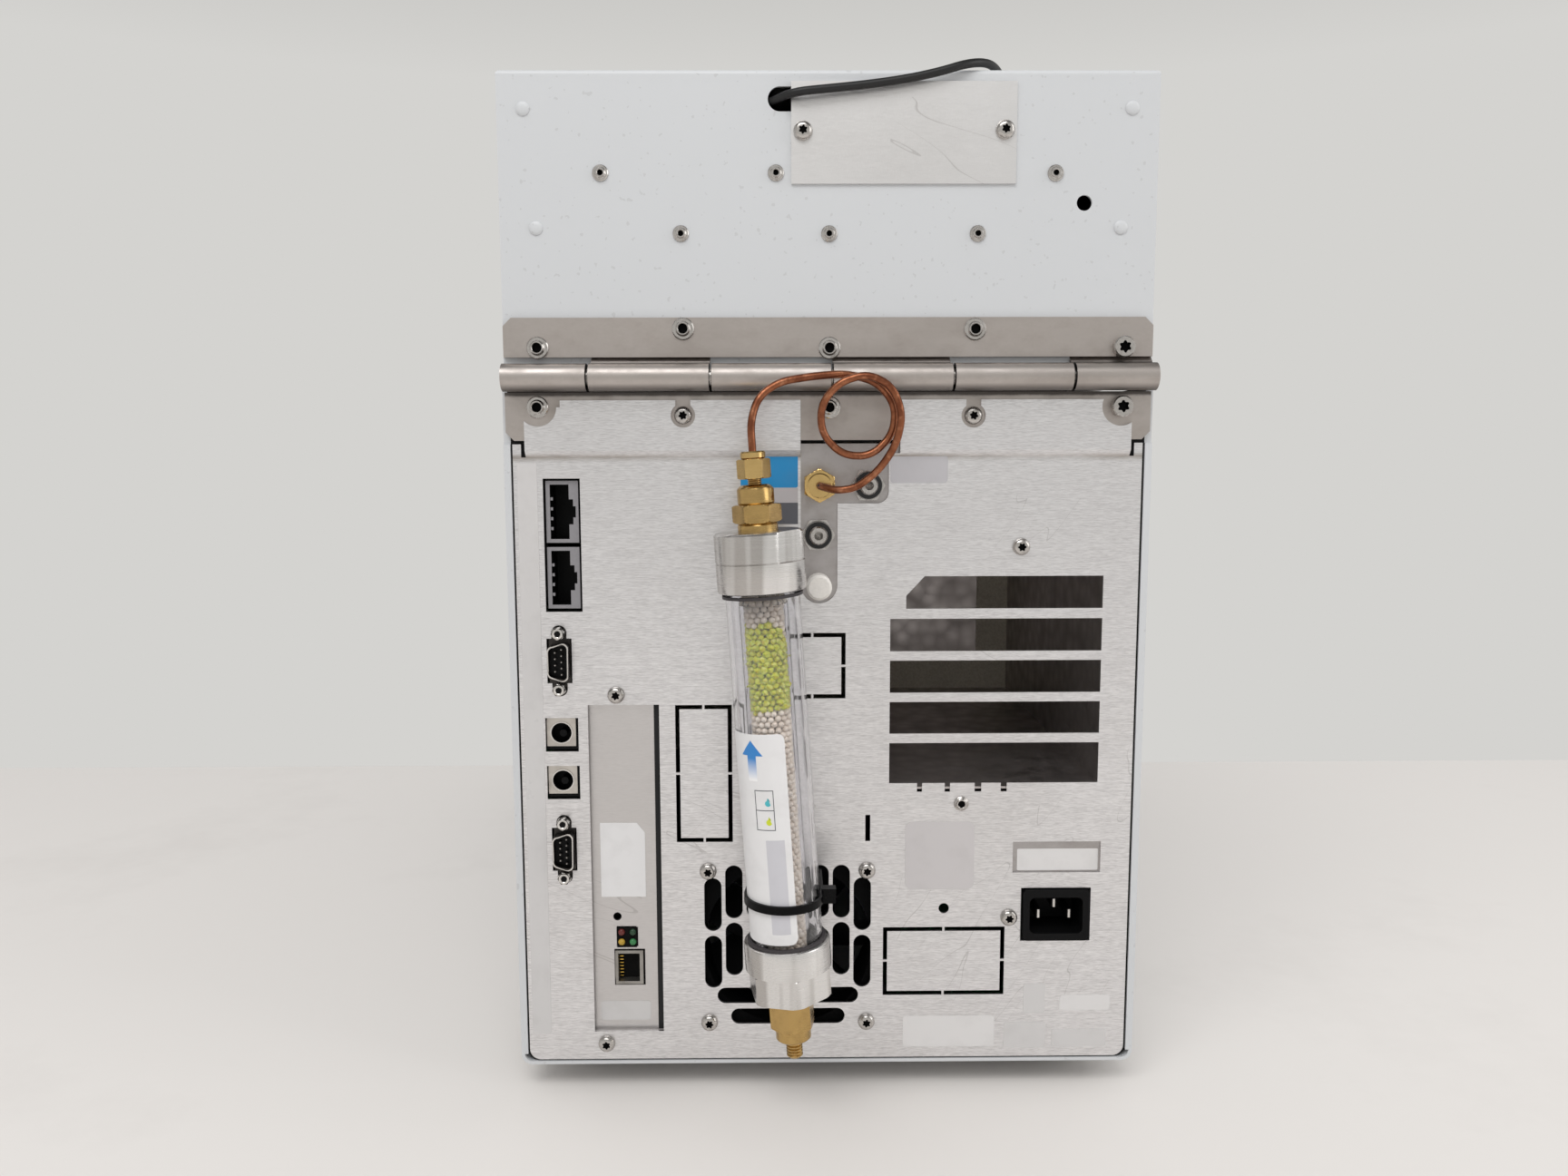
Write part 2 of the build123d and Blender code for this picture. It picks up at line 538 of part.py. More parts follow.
# ---- moisture trap, drawn upright along its own axis, front towards -Y ----
TUBE_SOCKET = 6.0
SEAL_TALL = 1.2
FLAT_CUT = 16.9


def trap_cap(bottom, top, boss_radius):
    """End cap: a round skirt over the tube and a body with six wrench flats."""
    upward = top > bottom
    low, high = min(bottom, top), max(bottom, top)
    middle = (low + high) / 2
    round_part = disc(0, 0, TRAP_CAP_RADIUS, low, high)
    ends = round_part.edges().filter_by(GeomType.CIRCLE).sort_by(Axis.Z)
    cap = chamfer([ends[0], ends[-1]], 1.0)
    if upward:
        flats = layer(RegularPolygon(FLAT_CUT, 6, major_radius=False), middle, high + 1)
        socket = disc(0, 0, TRAP_TUBE_RADIUS, low - 1, low + TUBE_SOCKET)
        keep = block((-30, 30), (-30, 30), (low - 1, middle))
    else:
        flats = layer(RegularPolygon(FLAT_CUT, 6, major_radius=False), low - 1, middle)
        socket = disc(0, 0, TRAP_TUBE_RADIUS, high - TUBE_SOCKET, high + 1)
        keep = block((-30, 30), (-30, 30), (middle, high + 1))
    cap = (cap & (flats + keep)) - socket
    return cap - disc(0, 0, boss_radius, low - 1, high + 1)


def build_trap():
    low_cap, high_cap = TRAP_LOW_CAP, TRAP_HIGH_CAP
    bore = 4.0
    node("trap_bottom_cap", REAR_TRAP * trap_cap(low_cap[1], low_cap[0], bore))
    node("trap_top_cap", REAR_TRAP * trap_cap(high_cap[0], high_cap[1], bore))
    ends = (low_cap[1] - TUBE_SOCKET, high_cap[0] + TUBE_SOCKET)
    tube = disc(0, 0, TRAP_TUBE_RADIUS, *ends) - disc(0, 0, TRAP_BORE_RADIUS, ends[0] - 1, ends[1] + 1)
    node("trap_tube", REAR_TRAP * tube)
    node("trap_beads", REAR_TRAP * disc(0, 0, TRAP_BORE_RADIUS, *ends))
    ring = turned((TRAP_TUBE_RADIUS, 0), (TRAP_TUBE_RADIUS + 1.3, 0),
                  (TRAP_TUBE_RADIUS + 1.3, SEAL_TALL), (TRAP_TUBE_RADIUS, SEAL_TALL))
    seals = [Pos(0, 0, low_cap[1]) * ring, Pos(0, 0, high_cap[0] - SEAL_TALL) * ring]
    node("trap_seals", REAR_TRAP * joined(seals))

    tip = low_cap[0]
    bottom = turned((1.6, 0), (3.5, 0), (3.5, 8.6), (7.6, 8.6), (7.6, tip - 7.4), (1.6, tip - 7.4))
    bottom += layer(hexagon(19.7), tip - 7.4, tip) + disc(0, 0, bore, tip, low_cap[1] - TUBE_SOCKET)
    bottom -= disc(0, 0, 1.6, -1, tip)
    node("trap_bottom_fitting", REAR_TRAP * bottom)
    top = high_cap[1]
    fitting = disc(0, 0, bore, high_cap[0] + TUBE_SOCKET, top) + disc(0, 0, 8.3, top, top + 3.4)
    fitting += layer(hexagon(20.2 * sqrt(3) / 2), top + 3.4, top + 11)
    fitting += disc(0, 0, 7.6, top + 11, top + 18.9) + disc(0, 0, 2.65, top + 18.9, NUT_BOTTOM)
    node("trap_top_fitting", REAR_TRAP * fitting)
    nut = layer(hexagon(12.0), NUT_BOTTOM, TRAP_LENGTH - 3) + disc(0, 0, 5.2, TRAP_LENGTH - 3, TRAP_LENGTH)
    parts["tube_nuts"] = joined([parts["tube_nuts"], REAR_TRAP * nut])


NUT_BOTTOM = 248.9
TIE_HEIGHT = 91.0
TIE_THICK = 1.2
TIE_BAND = 3.5
TIE_HEAD = (6.0, 6.4, 5.0)


def build_tie():
    """Cable tie round the trap's tube, through two slots of the fan grille."""
    lean = tan(radians(TRAP_TILT))
    centre_u = TRAP_FOOT[0] - (TIE_HEIGHT - TRAP_FOOT[1]) * lean
    foot = INNER_SLOTS - TIE_THICK / 2
    loop = [Edge.make_circle(TRAP_TUBE_RADIUS + 0.25).moved(Location((centre_u, TRAP_REACH, 0))),
            Edge.make_line((FAN_CENTRE[0] - foot, BACK, 0), (FAN_CENTRE[0] + foot, BACK, 0))]
    inside = make_hull(loop)
    outside = offset(inside, TIE_THICK)
    band = extrude(outside - inside, amount=TIE_BAND / 2, both=True)
    side, tall, deep = TIE_HEAD
    head = Pos(centre_u + TRAP_TUBE_RADIUS + TIE_THICK + side / 2 - 0.4, TRAP_REACH - 2, 0) * Box(side, deep, tall)
    band += head
    node("cable_tie", REAR * Pos(0, TIE_HEIGHT, 0) * Rot(90, 0, 0) * band)


# ---- electrical side ----
BOARD_SHEET = 1.6
BOARD_CLEAR = 30.2                        # from the oven's insulation to the boards
BOARD_END = STONE_BACK_Y + BOARD_CLEAR - REAR_Y
MAIN_BOARD_U = from_left(14.4)             # face that carries the sockets
MAIN_BOARD_V, MAIN_BOARD_OUT = (from_top(272), from_top(34)), (BOARD_END, -6.0)
JACK_WALL = 1.2
JACK_DEPTH = 18.0
JACK_RECESS = 4.0
INJECTOR_JACKS = [(from_left(17.3), from_left(31.4), from_top(66.6), from_top(39.7)),
                  (from_left(17.3), from_left(31.4), from_top(95.5), from_top(68.5))]
JACK_SUPPORT = (from_top(92), from_top(43))
JACK_CAVITY = [(from_left(19.1), from_left(27.3), 1.6), (from_left(27.3), from_left(29.1), 8.0),
               (from_left(29.1), from_left(30.2), 11.0)]
CARD_PLATE = ((from_left(30.5), from_left(68.4)), (13.6, 169.6))
CARD_BOARD_U = from_left(41)
CARD_FACE = -3.0
CARD_SHEET = 1.2
NETWORK_HOLE = ((from_left(42.9), from_left(56.9)), (36.5, 53.7))
NETWORK_SHIELD = ((from_left(43.4), from_left(56)), (37.0, 53.0))
NETWORK_CAVITY = ((from_left(44.6), from_left(54.4)), (38.4, 51.6))
LAMP_WINDOW = ((from_left(44.2), from_left(53.2)), (54.4, 64.5))
LAMPS_U, LAMPS_V = (from_left(46.4), from_left(51.5)), (57.2, 61.8)
LAMP_RADIUS = 1.5
LAMP_HOLDER = (from_left(53), (55.5, 63.5))
CARD_HOLE = (from_left(44.6), 69.1, 1.9)
SHELL_WALL = 0.6
PIN_SIZE = 0.55
MAINS_BODY = ((from_right(51.8), from_right(21.8)), (58.2, 81.9))
MAINS_SOCKET = ((from_right(48.8), from_right(24.8)), (61.6, 78.4))
MAINS_DEPTH = 27.0
MAINS_PIN = (2.0, 4.0, 14.0)              # thickness, width, spacing
POWER_BOARD = ((from_right(110), from_right(10)), (16.0, 16.0 + BOARD_SHEET), (BOARD_END, -32.0))
TRANSFORMER = ((10.0, 56.0), 34.0, (-120.0, -66.0))   # along the board, height, out
HEAT_SINK = ((70.0, 96.0), 30.0, (BOARD_END + 20.0, -60.0))
SINK_BASE, SINK_FIN, SINK_PITCH = 4.0, 2.0, 6.0
FAN_BLADES = 7
FAN_HUB = 19.0


def d_outline(width, height, taper):
    """Long D, narrower on its left side."""
    half = height / 2
    shape = polygon((-width / 2, -half + taper), (width / 2, -half), (width / 2, half), (-width / 2, half - taper))
    return fillet(shape.vertices(), 1.6)


def serial_port(u, v):
    """Nine-pin port: flange behind the panel, shell through it, two screw locks."""
    flange = Rectangle(9.4, 30.6) - d_outline(7.8, 15.6, 1.4)
    port = layer(flange, BACK - 1.4, BACK)
    tube = d_outline(9.0, 16.8, 1.4) - d_outline(9.0 - 2 * SHELL_WALL, 16.8 - 2 * SHELL_WALL, 1.4)
    port += layer(tube, BACK - 1.4, 4.6)
    port += layer(Rectangle(9.4, 18.4), BACK - 11, BACK - 1.4)
    for row, count, across in ((-1, 4, -1.4), (1, 5, 1.4)):
        for i in range(count):
            height = (i - (count - 1) / 2) * 2.77
            port += disc(across, height, PIN_SIZE, BACK - 2, 3.2)
    for side in (-1, 1):
        lock = layer(hexagon(5.0), BACK, 3.6) - disc(0, 0, 1.4, 0, 4)
        port += Pos(0, side * SERIAL_PITCH / 2) * lock
    return Pos(u, v) * port


def modular_jack(left, right, low, high, front):
    """Square telephone-type jack with a stepped cavity for plug and latch."""
    jack = layer(window((left, right), (low, high)), front - JACK_DEPTH, front)
    middle = (low + high) / 2
    for start, end, inset in JACK_CAVITY:
        hollow = window((start - 0.01, end), (low + inset, high - inset))
        jack -= layer(hollow, front - JACK_DEPTH + 4, front + 1)
    return jack


def build_sockets():
    front = -JACK_RECESS + 2
    jacks = [modular_jack(*bounds, front) for bounds in INJECTOR_JACKS]
    mounts = layer(window((MAIN_BOARD_U, INJECTOR_JACKS[0][0]), JACK_SUPPORT), front - JACK_DEPTH, front - 2)
    ports, rounds = [], []
    for u, v in SERIAL_PORTS:
        foot = layer(window((MAIN_BOARD_U, u - 4.6), (v - 9, v + 9)), BACK - 11, BACK - 3)
        ports.append(serial_port(u, v) + foot)
    node("serial_ports", REAR * joined(ports))
    for u, v in ROUND_SOCKETS:
        body = layer(Pos(u, v) * Rectangle(14.0, 14.4), -14, -2.2) - disc(u, v, 5.1, -9, 0)
        body += disc(u, v, 1.6, -9.5, -3.5)
        rounds.append(body + layer(window((MAIN_BOARD_U, u - 6.9), (v - 6, v + 6)), -14, -3))
    node("signal_sockets", REAR * joined(jacks + [mounts] + rounds))

    card = window(*CARD_PLATE) - window(*NETWORK_HOLE) - window(*LAMP_WINDOW)
    card -= Pos(CARD_HOLE[0], CARD_HOLE[1]) * Circle(CARD_HOLE[2])
    back = CARD_FACE - CARD_SHEET
    plate = layer(card, back, CARD_FACE)
    (left, right), (low, high) = CARD_PLATE
    inner = window((left + CARD_SHEET, right - CARD_SHEET), (low + CARD_SHEET, high - CARD_SHEET))
    plate += layer(window(*CARD_PLATE) - inner, CARD_FACE, BACK)
    fold = layer(window((CARD_BOARD_U - BOARD_SHEET - CARD_SHEET, CARD_BOARD_U - BOARD_SHEET), (66, 160)), -16, back)
    board = layer(window((CARD_BOARD_U - BOARD_SHEET, CARD_BOARD_U), (18, 165)), -130, back)
    jack = layer(window(*NETWORK_SHIELD), -20, CARD_FACE + 0.4) - layer(window(*NETWORK_CAVITY), -16, 1)
    jack += layer(window((CARD_BOARD_U, NETWORK_SHIELD[0][0]), (39, 51)), -19, back)
    node("network_jack", REAR * jack)
    lamps = [disc(u, v, LAMP_RADIUS, -7, CARD_FACE + 0.4) for u in LAMPS_U for v in LAMPS_V]
    holder = layer(window((CARD_BOARD_U, LAMP_HOLDER[0]), LAMP_HOLDER[1]), -10, -7)
    lights = joined(lamps + [holder])
    node("network_card", REAR * Compound((plate + fold).solids() + board.solids() + lights.solids()))


def build_mains():
    (left, right), (low, high) = MAINS_BODY
    body = layer(window(*MAINS_BODY, 2), -MAINS_DEPTH, 1.6)
    rim = fillet(window(*MAINS_SOCKET).vertices(), 2.5)
    body -= layer(rim, -MAINS_DEPTH + 9, 2)
    flange = window((left - 7, right + 7), (low - 2, high + 2), 1.5)
    body += layer(flange, BACK - 2.2, BACK) - layer(rim, -5, 5)
    body -= disc(*PANEL_FIXINGS[1], SCREW_HOLE, -6, 0)
    thick, wide, pitch = MAINS_PIN
    middle_u, middle_v = (left + right) / 2, (low + high) / 2
    for i in (-1, 0, 1):
        place = Pos(middle_u + i * pitch / 2, middle_v + (4.0 if i == 0 else -1.0))
        body += layer(place * Rectangle(thick, wide), -MAINS_DEPTH + 9, -3.5)
    node("mains_inlet", REAR * body)


def build_boards():
    low, high = MAIN_BOARD_OUT
    board = layer(window((MAIN_BOARD_U - BOARD_SHEET, MAIN_BOARD_U), MAIN_BOARD_V), low, high)
    u, v, out = POWER_BOARD
    posts = []
    wall = -HALF + CASE_SHEET
    for height in (MAIN_BOARD_V[0] + 12, MAIN_BOARD_V[1] - 12):
        for depth in (low + 12, high - 20):
            length = MAIN_BOARD_U - BOARD_SHEET - wall
            post = Rot(0, 90, 0) * Cylinder(3.0, length)
            posts.append(Pos(wall + length / 2, height, depth) * post)
    node("main_board", REAR * joined([board] + posts))
    power = layer(window(u, v), *out)
    for across in (u[0] + 8, u[1] - 8):
        for depth in (out[0] + 8, out[1] - 8):
            length = v[0] - FLOOR_TOP
            power += Pos(across, FLOOR_TOP + length / 2, depth) * Rot(90, 0, 0) * Cylinder(3.0, length)
    (near, far), tall, reach = TRANSFORMER
    transformer = layer(window((u[0] + near, u[0] + far), (v[1], v[1] + tall), 3), *reach)
    (near, far), tall, reach = HEAT_SINK
    sink = window((u[0] + near, u[0] + far), (v[1], v[1] + SINK_BASE))
    for fin in range(5):
        left = u[0] + near + fin * SINK_PITCH
        sink += window((left, left + SINK_FIN), (v[1], v[1] + tall))
    node("power_board", REAR * joined([power, transformer, layer(sink, *reach)]))


def build_cooling_fan():
    front = BACK - FAN_SPACER
    middle = Pos(*FAN_CENTRE)
    case = RectangleRounded(FAN_SIZE, FAN_SIZE, 4) - Circle(FAN_BORE_RADIUS)
    housing = layer(case, front - FAN_THICK, front)
    corners = [(i * FAN_PITCH / 2, j * FAN_PITCH / 2) for i in (-1, 1) for j in (-1, 1)]
    middle_cut = layer(Circle(FAN_SIZE) - Circle(FAN_BORE_RADIUS + 1.6), front - FAN_THICK + 4, front - 4)
    keep = [Pos(x, y) * Rectangle(12, 12) for x, y in corners]
    for square in keep:
        middle_cut -= layer(square, front - FAN_THICK, front)
    housing -= middle_cut
    hub_back = front - FAN_THICK
    housing += layer(Circle(17.5), hub_back, hub_back + 3)
    for quarter in range(4):
        arm = Pos(27.5, 0) * Rectangle(23, 4)
        housing += layer(Rot(0, 0, 45 + 90 * quarter) * arm, hub_back, hub_back + 3)
    housing += disc(0, 0, 2.0, hub_back + 3, front - 6)
    for x, y in corners:
        housing += disc(x, y, 4.6, front, BACK)
        housing -= disc(x, y, SCREW_HOLE, front - FAN_THICK - 1, 1)
    node("fan_housing", REAR * middle * housing)

    low, high = hub_back + 3.6, front - 3.4
    rotor = disc(0, 0, FAN_HUB, low, high) - disc(0, 0, 2.05, low - 1, front - 6 + 0.5)
    root = FAN_HUB - 2
    blade = Pos((root + FAN_BORE_RADIUS) / 2, 0, (low + high) / 2)
    blade = blade * Rot(38, 0, 0) * Box(FAN_BORE_RADIUS - root, 21, 1.6)
    reach = disc(0, 0, FAN_BORE_RADIUS - 0.8, low, high)
    for i in range(FAN_BLADES):
        rotor += (Rot(0, 0, 360 / FAN_BLADES * i) * blade) & reach
    node("fan_rotor", REAR * middle * rotor)


# ---- oven, drawn in the part's own frame ----
OVEN_FLOOR = OVEN_TOP - OVEN_HEIGHT
FLUE = ((48.0, OVEN_WIDTH / 2 - 8.0), (OVEN_TOP - 151.7, OVEN_TOP - 96.7))   # u and v of the oven's outlet
DUCT = ((25.0, from_right(16.4)), (from_top(177.6), from_top(78.6)))
DUCT_SHEET = 1.0
FLAP_MARGIN = 3.0
FLAP_SHEET = 1.2
FLAP_PIN = 2.0
FLAP_MOTOR_RADIUS = 9.0
SHAFT_RADIUS = 4.0
MOTOR_RADIUS = 21.0
COIL_RADIUS = 71.0
GUARD_RADIUS = 84.0
GUARD_GAP = 2.0
OVEN_FAN_AT = (GUARD_RADIUS + GUARD_GAP - OVEN_WIDTH / 2, OVEN_TOP - OVEN_FAN_DROP)
STAND_WIDTH = 30.0
STAND_SPREAD = 90.0


def oven_box(grow, low):
    """Block of the oven's cavity grown sideways, from a height up to the flange."""
    half = OVEN_WIDTH / 2 + grow
    return block((-half, half), (OVEN_FRONT_Y - grow, OVEN_BACK_Y + grow), (up(low), up(OVEN_TOP)))


def build_oven():
    x, z = -OVEN_FAN_AT[0], up(OVEN_FAN_AT[1])
    wall = OVEN_LINER_SHEET
    flue = block((-FLUE[0][1], -FLUE[0][0]), (OVEN_BACK_Y - 1, STONE_BACK_Y + 1), (up(FLUE[1][0]), up(FLUE[1][1])))
    shaft_hole = Pos(x, OVEN_BACK_Y + 12, z) * Rot(90, 0, 0) * Cylinder(SHAFT_RADIUS + 1.5, 60)
    liner = oven_box(wall, OVEN_FLOOR - wall) - oven_box(0, OVEN_FLOOR)
    rim = oven_box(OVEN_INSULATION, OVEN_TOP - wall) - oven_box(0, OVEN_TOP - 2 * wall)
    node("oven_liner", liner + rim - flue - shaft_hole)
    stone = oven_box(OVEN_INSULATION, OVEN_FLOOR - OVEN_INSULATION)
    stone -= oven_box(wall, OVEN_FLOOR - wall)
    stone -= oven_box(OVEN_INSULATION + 1, OVEN_TOP - wall)
    node("oven_insulation", stone - flue - shaft_hole)
    fan_y = OVEN_BACK_Y - 6
    wheel = Pos(x, fan_y, z) * Rot(90, 0, 0)
    plate = disc(0, 0, OVEN_FAN_RADIUS, 0, 1.5)
    hub = disc(0, 0, 9.0, 1.5, 14)
    blades = [Rot(0, 0, 45 * i) * Pos((OVEN_FAN_RADIUS + 16) / 2, 0, 12) * Rot(0, 0, 12) * Box(44, 1.5, 21)
              for i in range(8)]
    shaft = disc(0, 0, SHAFT_RADIUS, -(STONE_BACK_Y - fan_y) - 8, 0)
    node("oven_fan", wheel * (joined([plate + hub] + blades) + shaft))
    guard_y = fan_y - 26
    holes = [Rot(0, 0, 30 * i) * Pos(34, 0) * SlotOverall(34, 8) for i in range(12)]
    guard = Circle(GUARD_RADIUS) - Circle(9)
    for hole in holes:
        guard -= hole
    shroud = Pos(x, guard_y, z) * Rot(90, 0, 0) * layer(guard, 0, 1.2)
    spread = GUARD_RADIUS - 5
    legs = [Pos(x + spread * cos(a), (guard_y + OVEN_BACK_Y) / 2, z + spread * sin(a)) * Rot(90, 0, 0)
            * Cylinder(2.5, OVEN_BACK_Y - guard_y) for a in (0.35, pi - 0.35, pi + 0.6, -0.6)]
    node("oven_shroud", joined([shroud] + legs))
    coil = Pos(x, fan_y - 12, z) * Rot(90, 0, 0) * Torus(COIL_RADIUS, 2.4)
    stays = [Pos(x + COIL_RADIUS * cos(a), (fan_y - 12 + OVEN_BACK_Y) / 2, z + COIL_RADIUS * sin(a))
             * Rot(90, 0, 0) * Cylinder(1.5, OVEN_BACK_Y - fan_y + 12) for a in (0.9, pi - 0.9)]
    node("heater_coil", joined([coil] + stays))
    motor = Pos(x, 0, z) * Rot(90, 0, 0)
    back = -STONE_BACK_Y
    body = disc(0, 0, MOTOR_RADIUS, back - 52, back - 1.5)
    body += layer(Pos(0, 0) * RectangleRounded(56, 56, 4), back - 1.5, back)
    body -= disc(0, 0, SHAFT_RADIUS + PIN_FIT, back - 9, back + 1)
    node("oven_fan_motor", motor * body)


def build_exhaust():
    depth = REAR_Y - STONE_BACK_Y
    (left, right), (low, high) = DUCT
    t = DUCT_SHEET
    tube = window(*DUCT) - window((left + t, right - t), (low + t, high - t))
    duct = layer(tube, -depth, BACK)
    pivot = (FLUE[1][1] + FLAP_MARGIN + 4.0, -depth + 5.0)      # v and out of the flap's pin
    bore = Plane.YZ.offset(left - 5) * Pos(*pivot) * Circle(FLAP_PIN + PIN_FIT)
    duct -= extrude(bore, amount=right - left + 10)
    wide = (FLUE[0][0] - FLAP_MARGIN, FLUE[0][1] + FLAP_MARGIN)
    gap = SEAT
    plate = layer(window(wide, (FLUE[1][0] - FLAP_MARGIN, pivot[0])), -depth + gap, -depth + gap + FLAP_SHEET)
    tongue = [(pivot[0] - 4, -depth + gap), (pivot[0] - 4, -depth + gap + FLAP_SHEET),
              (pivot[0] - 1.2, pivot[1] + 1.5), (pivot[0] + 1.2, pivot[1] - 1.0), (pivot[0], -depth + gap)]
    plate += extrude(Plane.YZ.offset(wide[0]) * polygon(*tongue), amount=wide[1] - wide[0])
    rod = Plane.YZ.offset(left - 3) * Pos(*pivot) * Circle(FLAP_PIN)
    node("exhaust_flap", REAR * (plate + extrude(rod, amount=right - left + 4)))
    motor = Plane.YZ.offset(left - 15) * Pos(pivot[0], FLAP_MOTOR_RADIUS - depth) * Circle(FLAP_MOTOR_RADIUS)
    socket = Plane.YZ.offset(left - 3.3) * Pos(*pivot) * Circle(FLAP_PIN + PIN_FIT)
    body = extrude(motor, amount=15) - extrude(socket, amount=5)
    node("exhaust_duct", REAR * joined([duct, body]))


# ---- lid ----
LID_SHEET = 1.5
LID_EDGE = 2.0
PAN_SHEET = 1.2
PAN_BOTTOM = LID_BOTTOM
STONE_TALL = 26.0
GASKET_WIDTH = 8.0
RIVETS = [(from_left(12), LID_TOP - 15.9), (from_right(12.6), LID_TOP - 15.6),
          (from_left(16.3), LID_TOP - 64.4), (from_right(16.1), LID_TOP - 64.3)]
STANDOFFS = [(-96.1, LID_TOP - 41.9), (-22.3, LID_TOP - 41.9), (95.7, LID_TOP - 42),
             (-62.6, LID_TOP - 66.7), (0.2, LID_TOP - 66.8), (63.2, LID_TOP - 66.8)]
STANDOFF_HOLE = 1.15
COVER_PLATE = ((-15.8, 78.8), (LID_TOP - 46.5, LID_TOP - 5), 1.0)
COVER_SCREWS = [(-10.9, LID_TOP - 25.1), (73.9, LID_TOP - 24.7)]
CABLE_SLOT = ((-25.6, 20.0), (LID_TOP - 17, LID_TOP - 6.9))
WALL_HOLE = (108.2, LID_TOP - 54.2, 3.25)
HATCH = ((-84.0, 84.0), (-186.0, -36.0))
TOP_COVER = ((-92.0, 92.0), (-194.0, -28.0))
TOP_COVER_TALL = 50.0
TOP_COVER_WALL = 2.5
COVER_AXIS = (11.0, 8.0)                  # behind the cover's back, above the lid
COVER_PIN = 2.5
COVER_EARS = 60.0
EAR = (6.0, 16.0, 14.0)
INLET_AT, DETECTOR_AT = (-45.0, -110.0), (45.0, -110.0)
NEEDLE_DROP = 12.0                        # inlet and detector tubes below the lid's pan
COLUMN_AT = (OVEN_WIDTH / 2 - 88.0, -82.0, OVEN_TOP - 87.7)   # x, y, and height above the case bottom
COLUMN_RADIUS = 68.0
COLUMN_DEPTH = 34.0
STRIKER = ((8.0, 20.0), (-15.4, -13.4), 20.0)
CABLE_RADIUS = 1.75
# Route of the signal cable: u, v and distance in front of the rear panel.
CABLE_ROUTE = [
    (-48.0, 423.0, -14.0), (-36.0, 423.0, -14.0), (-24.5, 424.6, -4.0), (-15.0, 426.3, 4.2), (-2.0, 427.7, 3.6),
    (14.0, 429.3, 3.3), (31.0, 431.6, 3.0), (46.0, 434.7, 3.0), (58.0, 438.7, 1.4), (68.0, 441.2, -6.5),
    (75.0, 440.8, -20.0), (79.2, 440.2, -36.0), (80.0, 440.4, -53.0), (80.0, 440.4, -68.0),
]
CLAMP = (10.0, 11.0)
BOOT = (12.0, 7.6, 18.0)


def build_lid_shell():
    back = REAR_Y + BACK
    outer = block((-LID_HALF, LID_HALF), (SHELL_FRONT, back), (up(LID_BOTTOM), up(LID_TOP)))
    edges = outer.edges().filter_by(Axis.Y).sort_by(Axis.Z)[-2:] + outer.edges().filter_by(Axis.X).group_by(Axis.Z)[-1]
    outer = fillet([e for e in edges if not (e.center().Y < back - 1 and abs(e.center().X) < 1)], LID_EDGE)
    inner = block((-LID_HALF + LID_SHEET, LID_HALF - LID_SHEET), (SHELL_FRONT - 5, back - LID_SHEET),
                  (up(LID_BOTTOM) - 5, up(LID_TOP) - LID_SHEET))
    shell = outer - inner
    (left, right), (low, high) = CABLE_SLOT
    slot = Pos((left + right) / 2, (low + high) / 2) * SlotOverall(right - left, high - low)
    shell -= REAR * layer(slot, FRAME_BACK - 2, 2)
    shell -= REAR * disc(*WALL_HOLE, FRAME_BACK - 2, 2)
    for u, v in STANDOFFS:
        shell -= REAR * disc(u, v, STANDOFF_HOLE, FRAME_BACK - 2, 2)
    hatch = block(*HATCH, (up(LID_TOP) - 5, up(LID_TOP) + 5))
    node("lid_shell", shell - hatch)


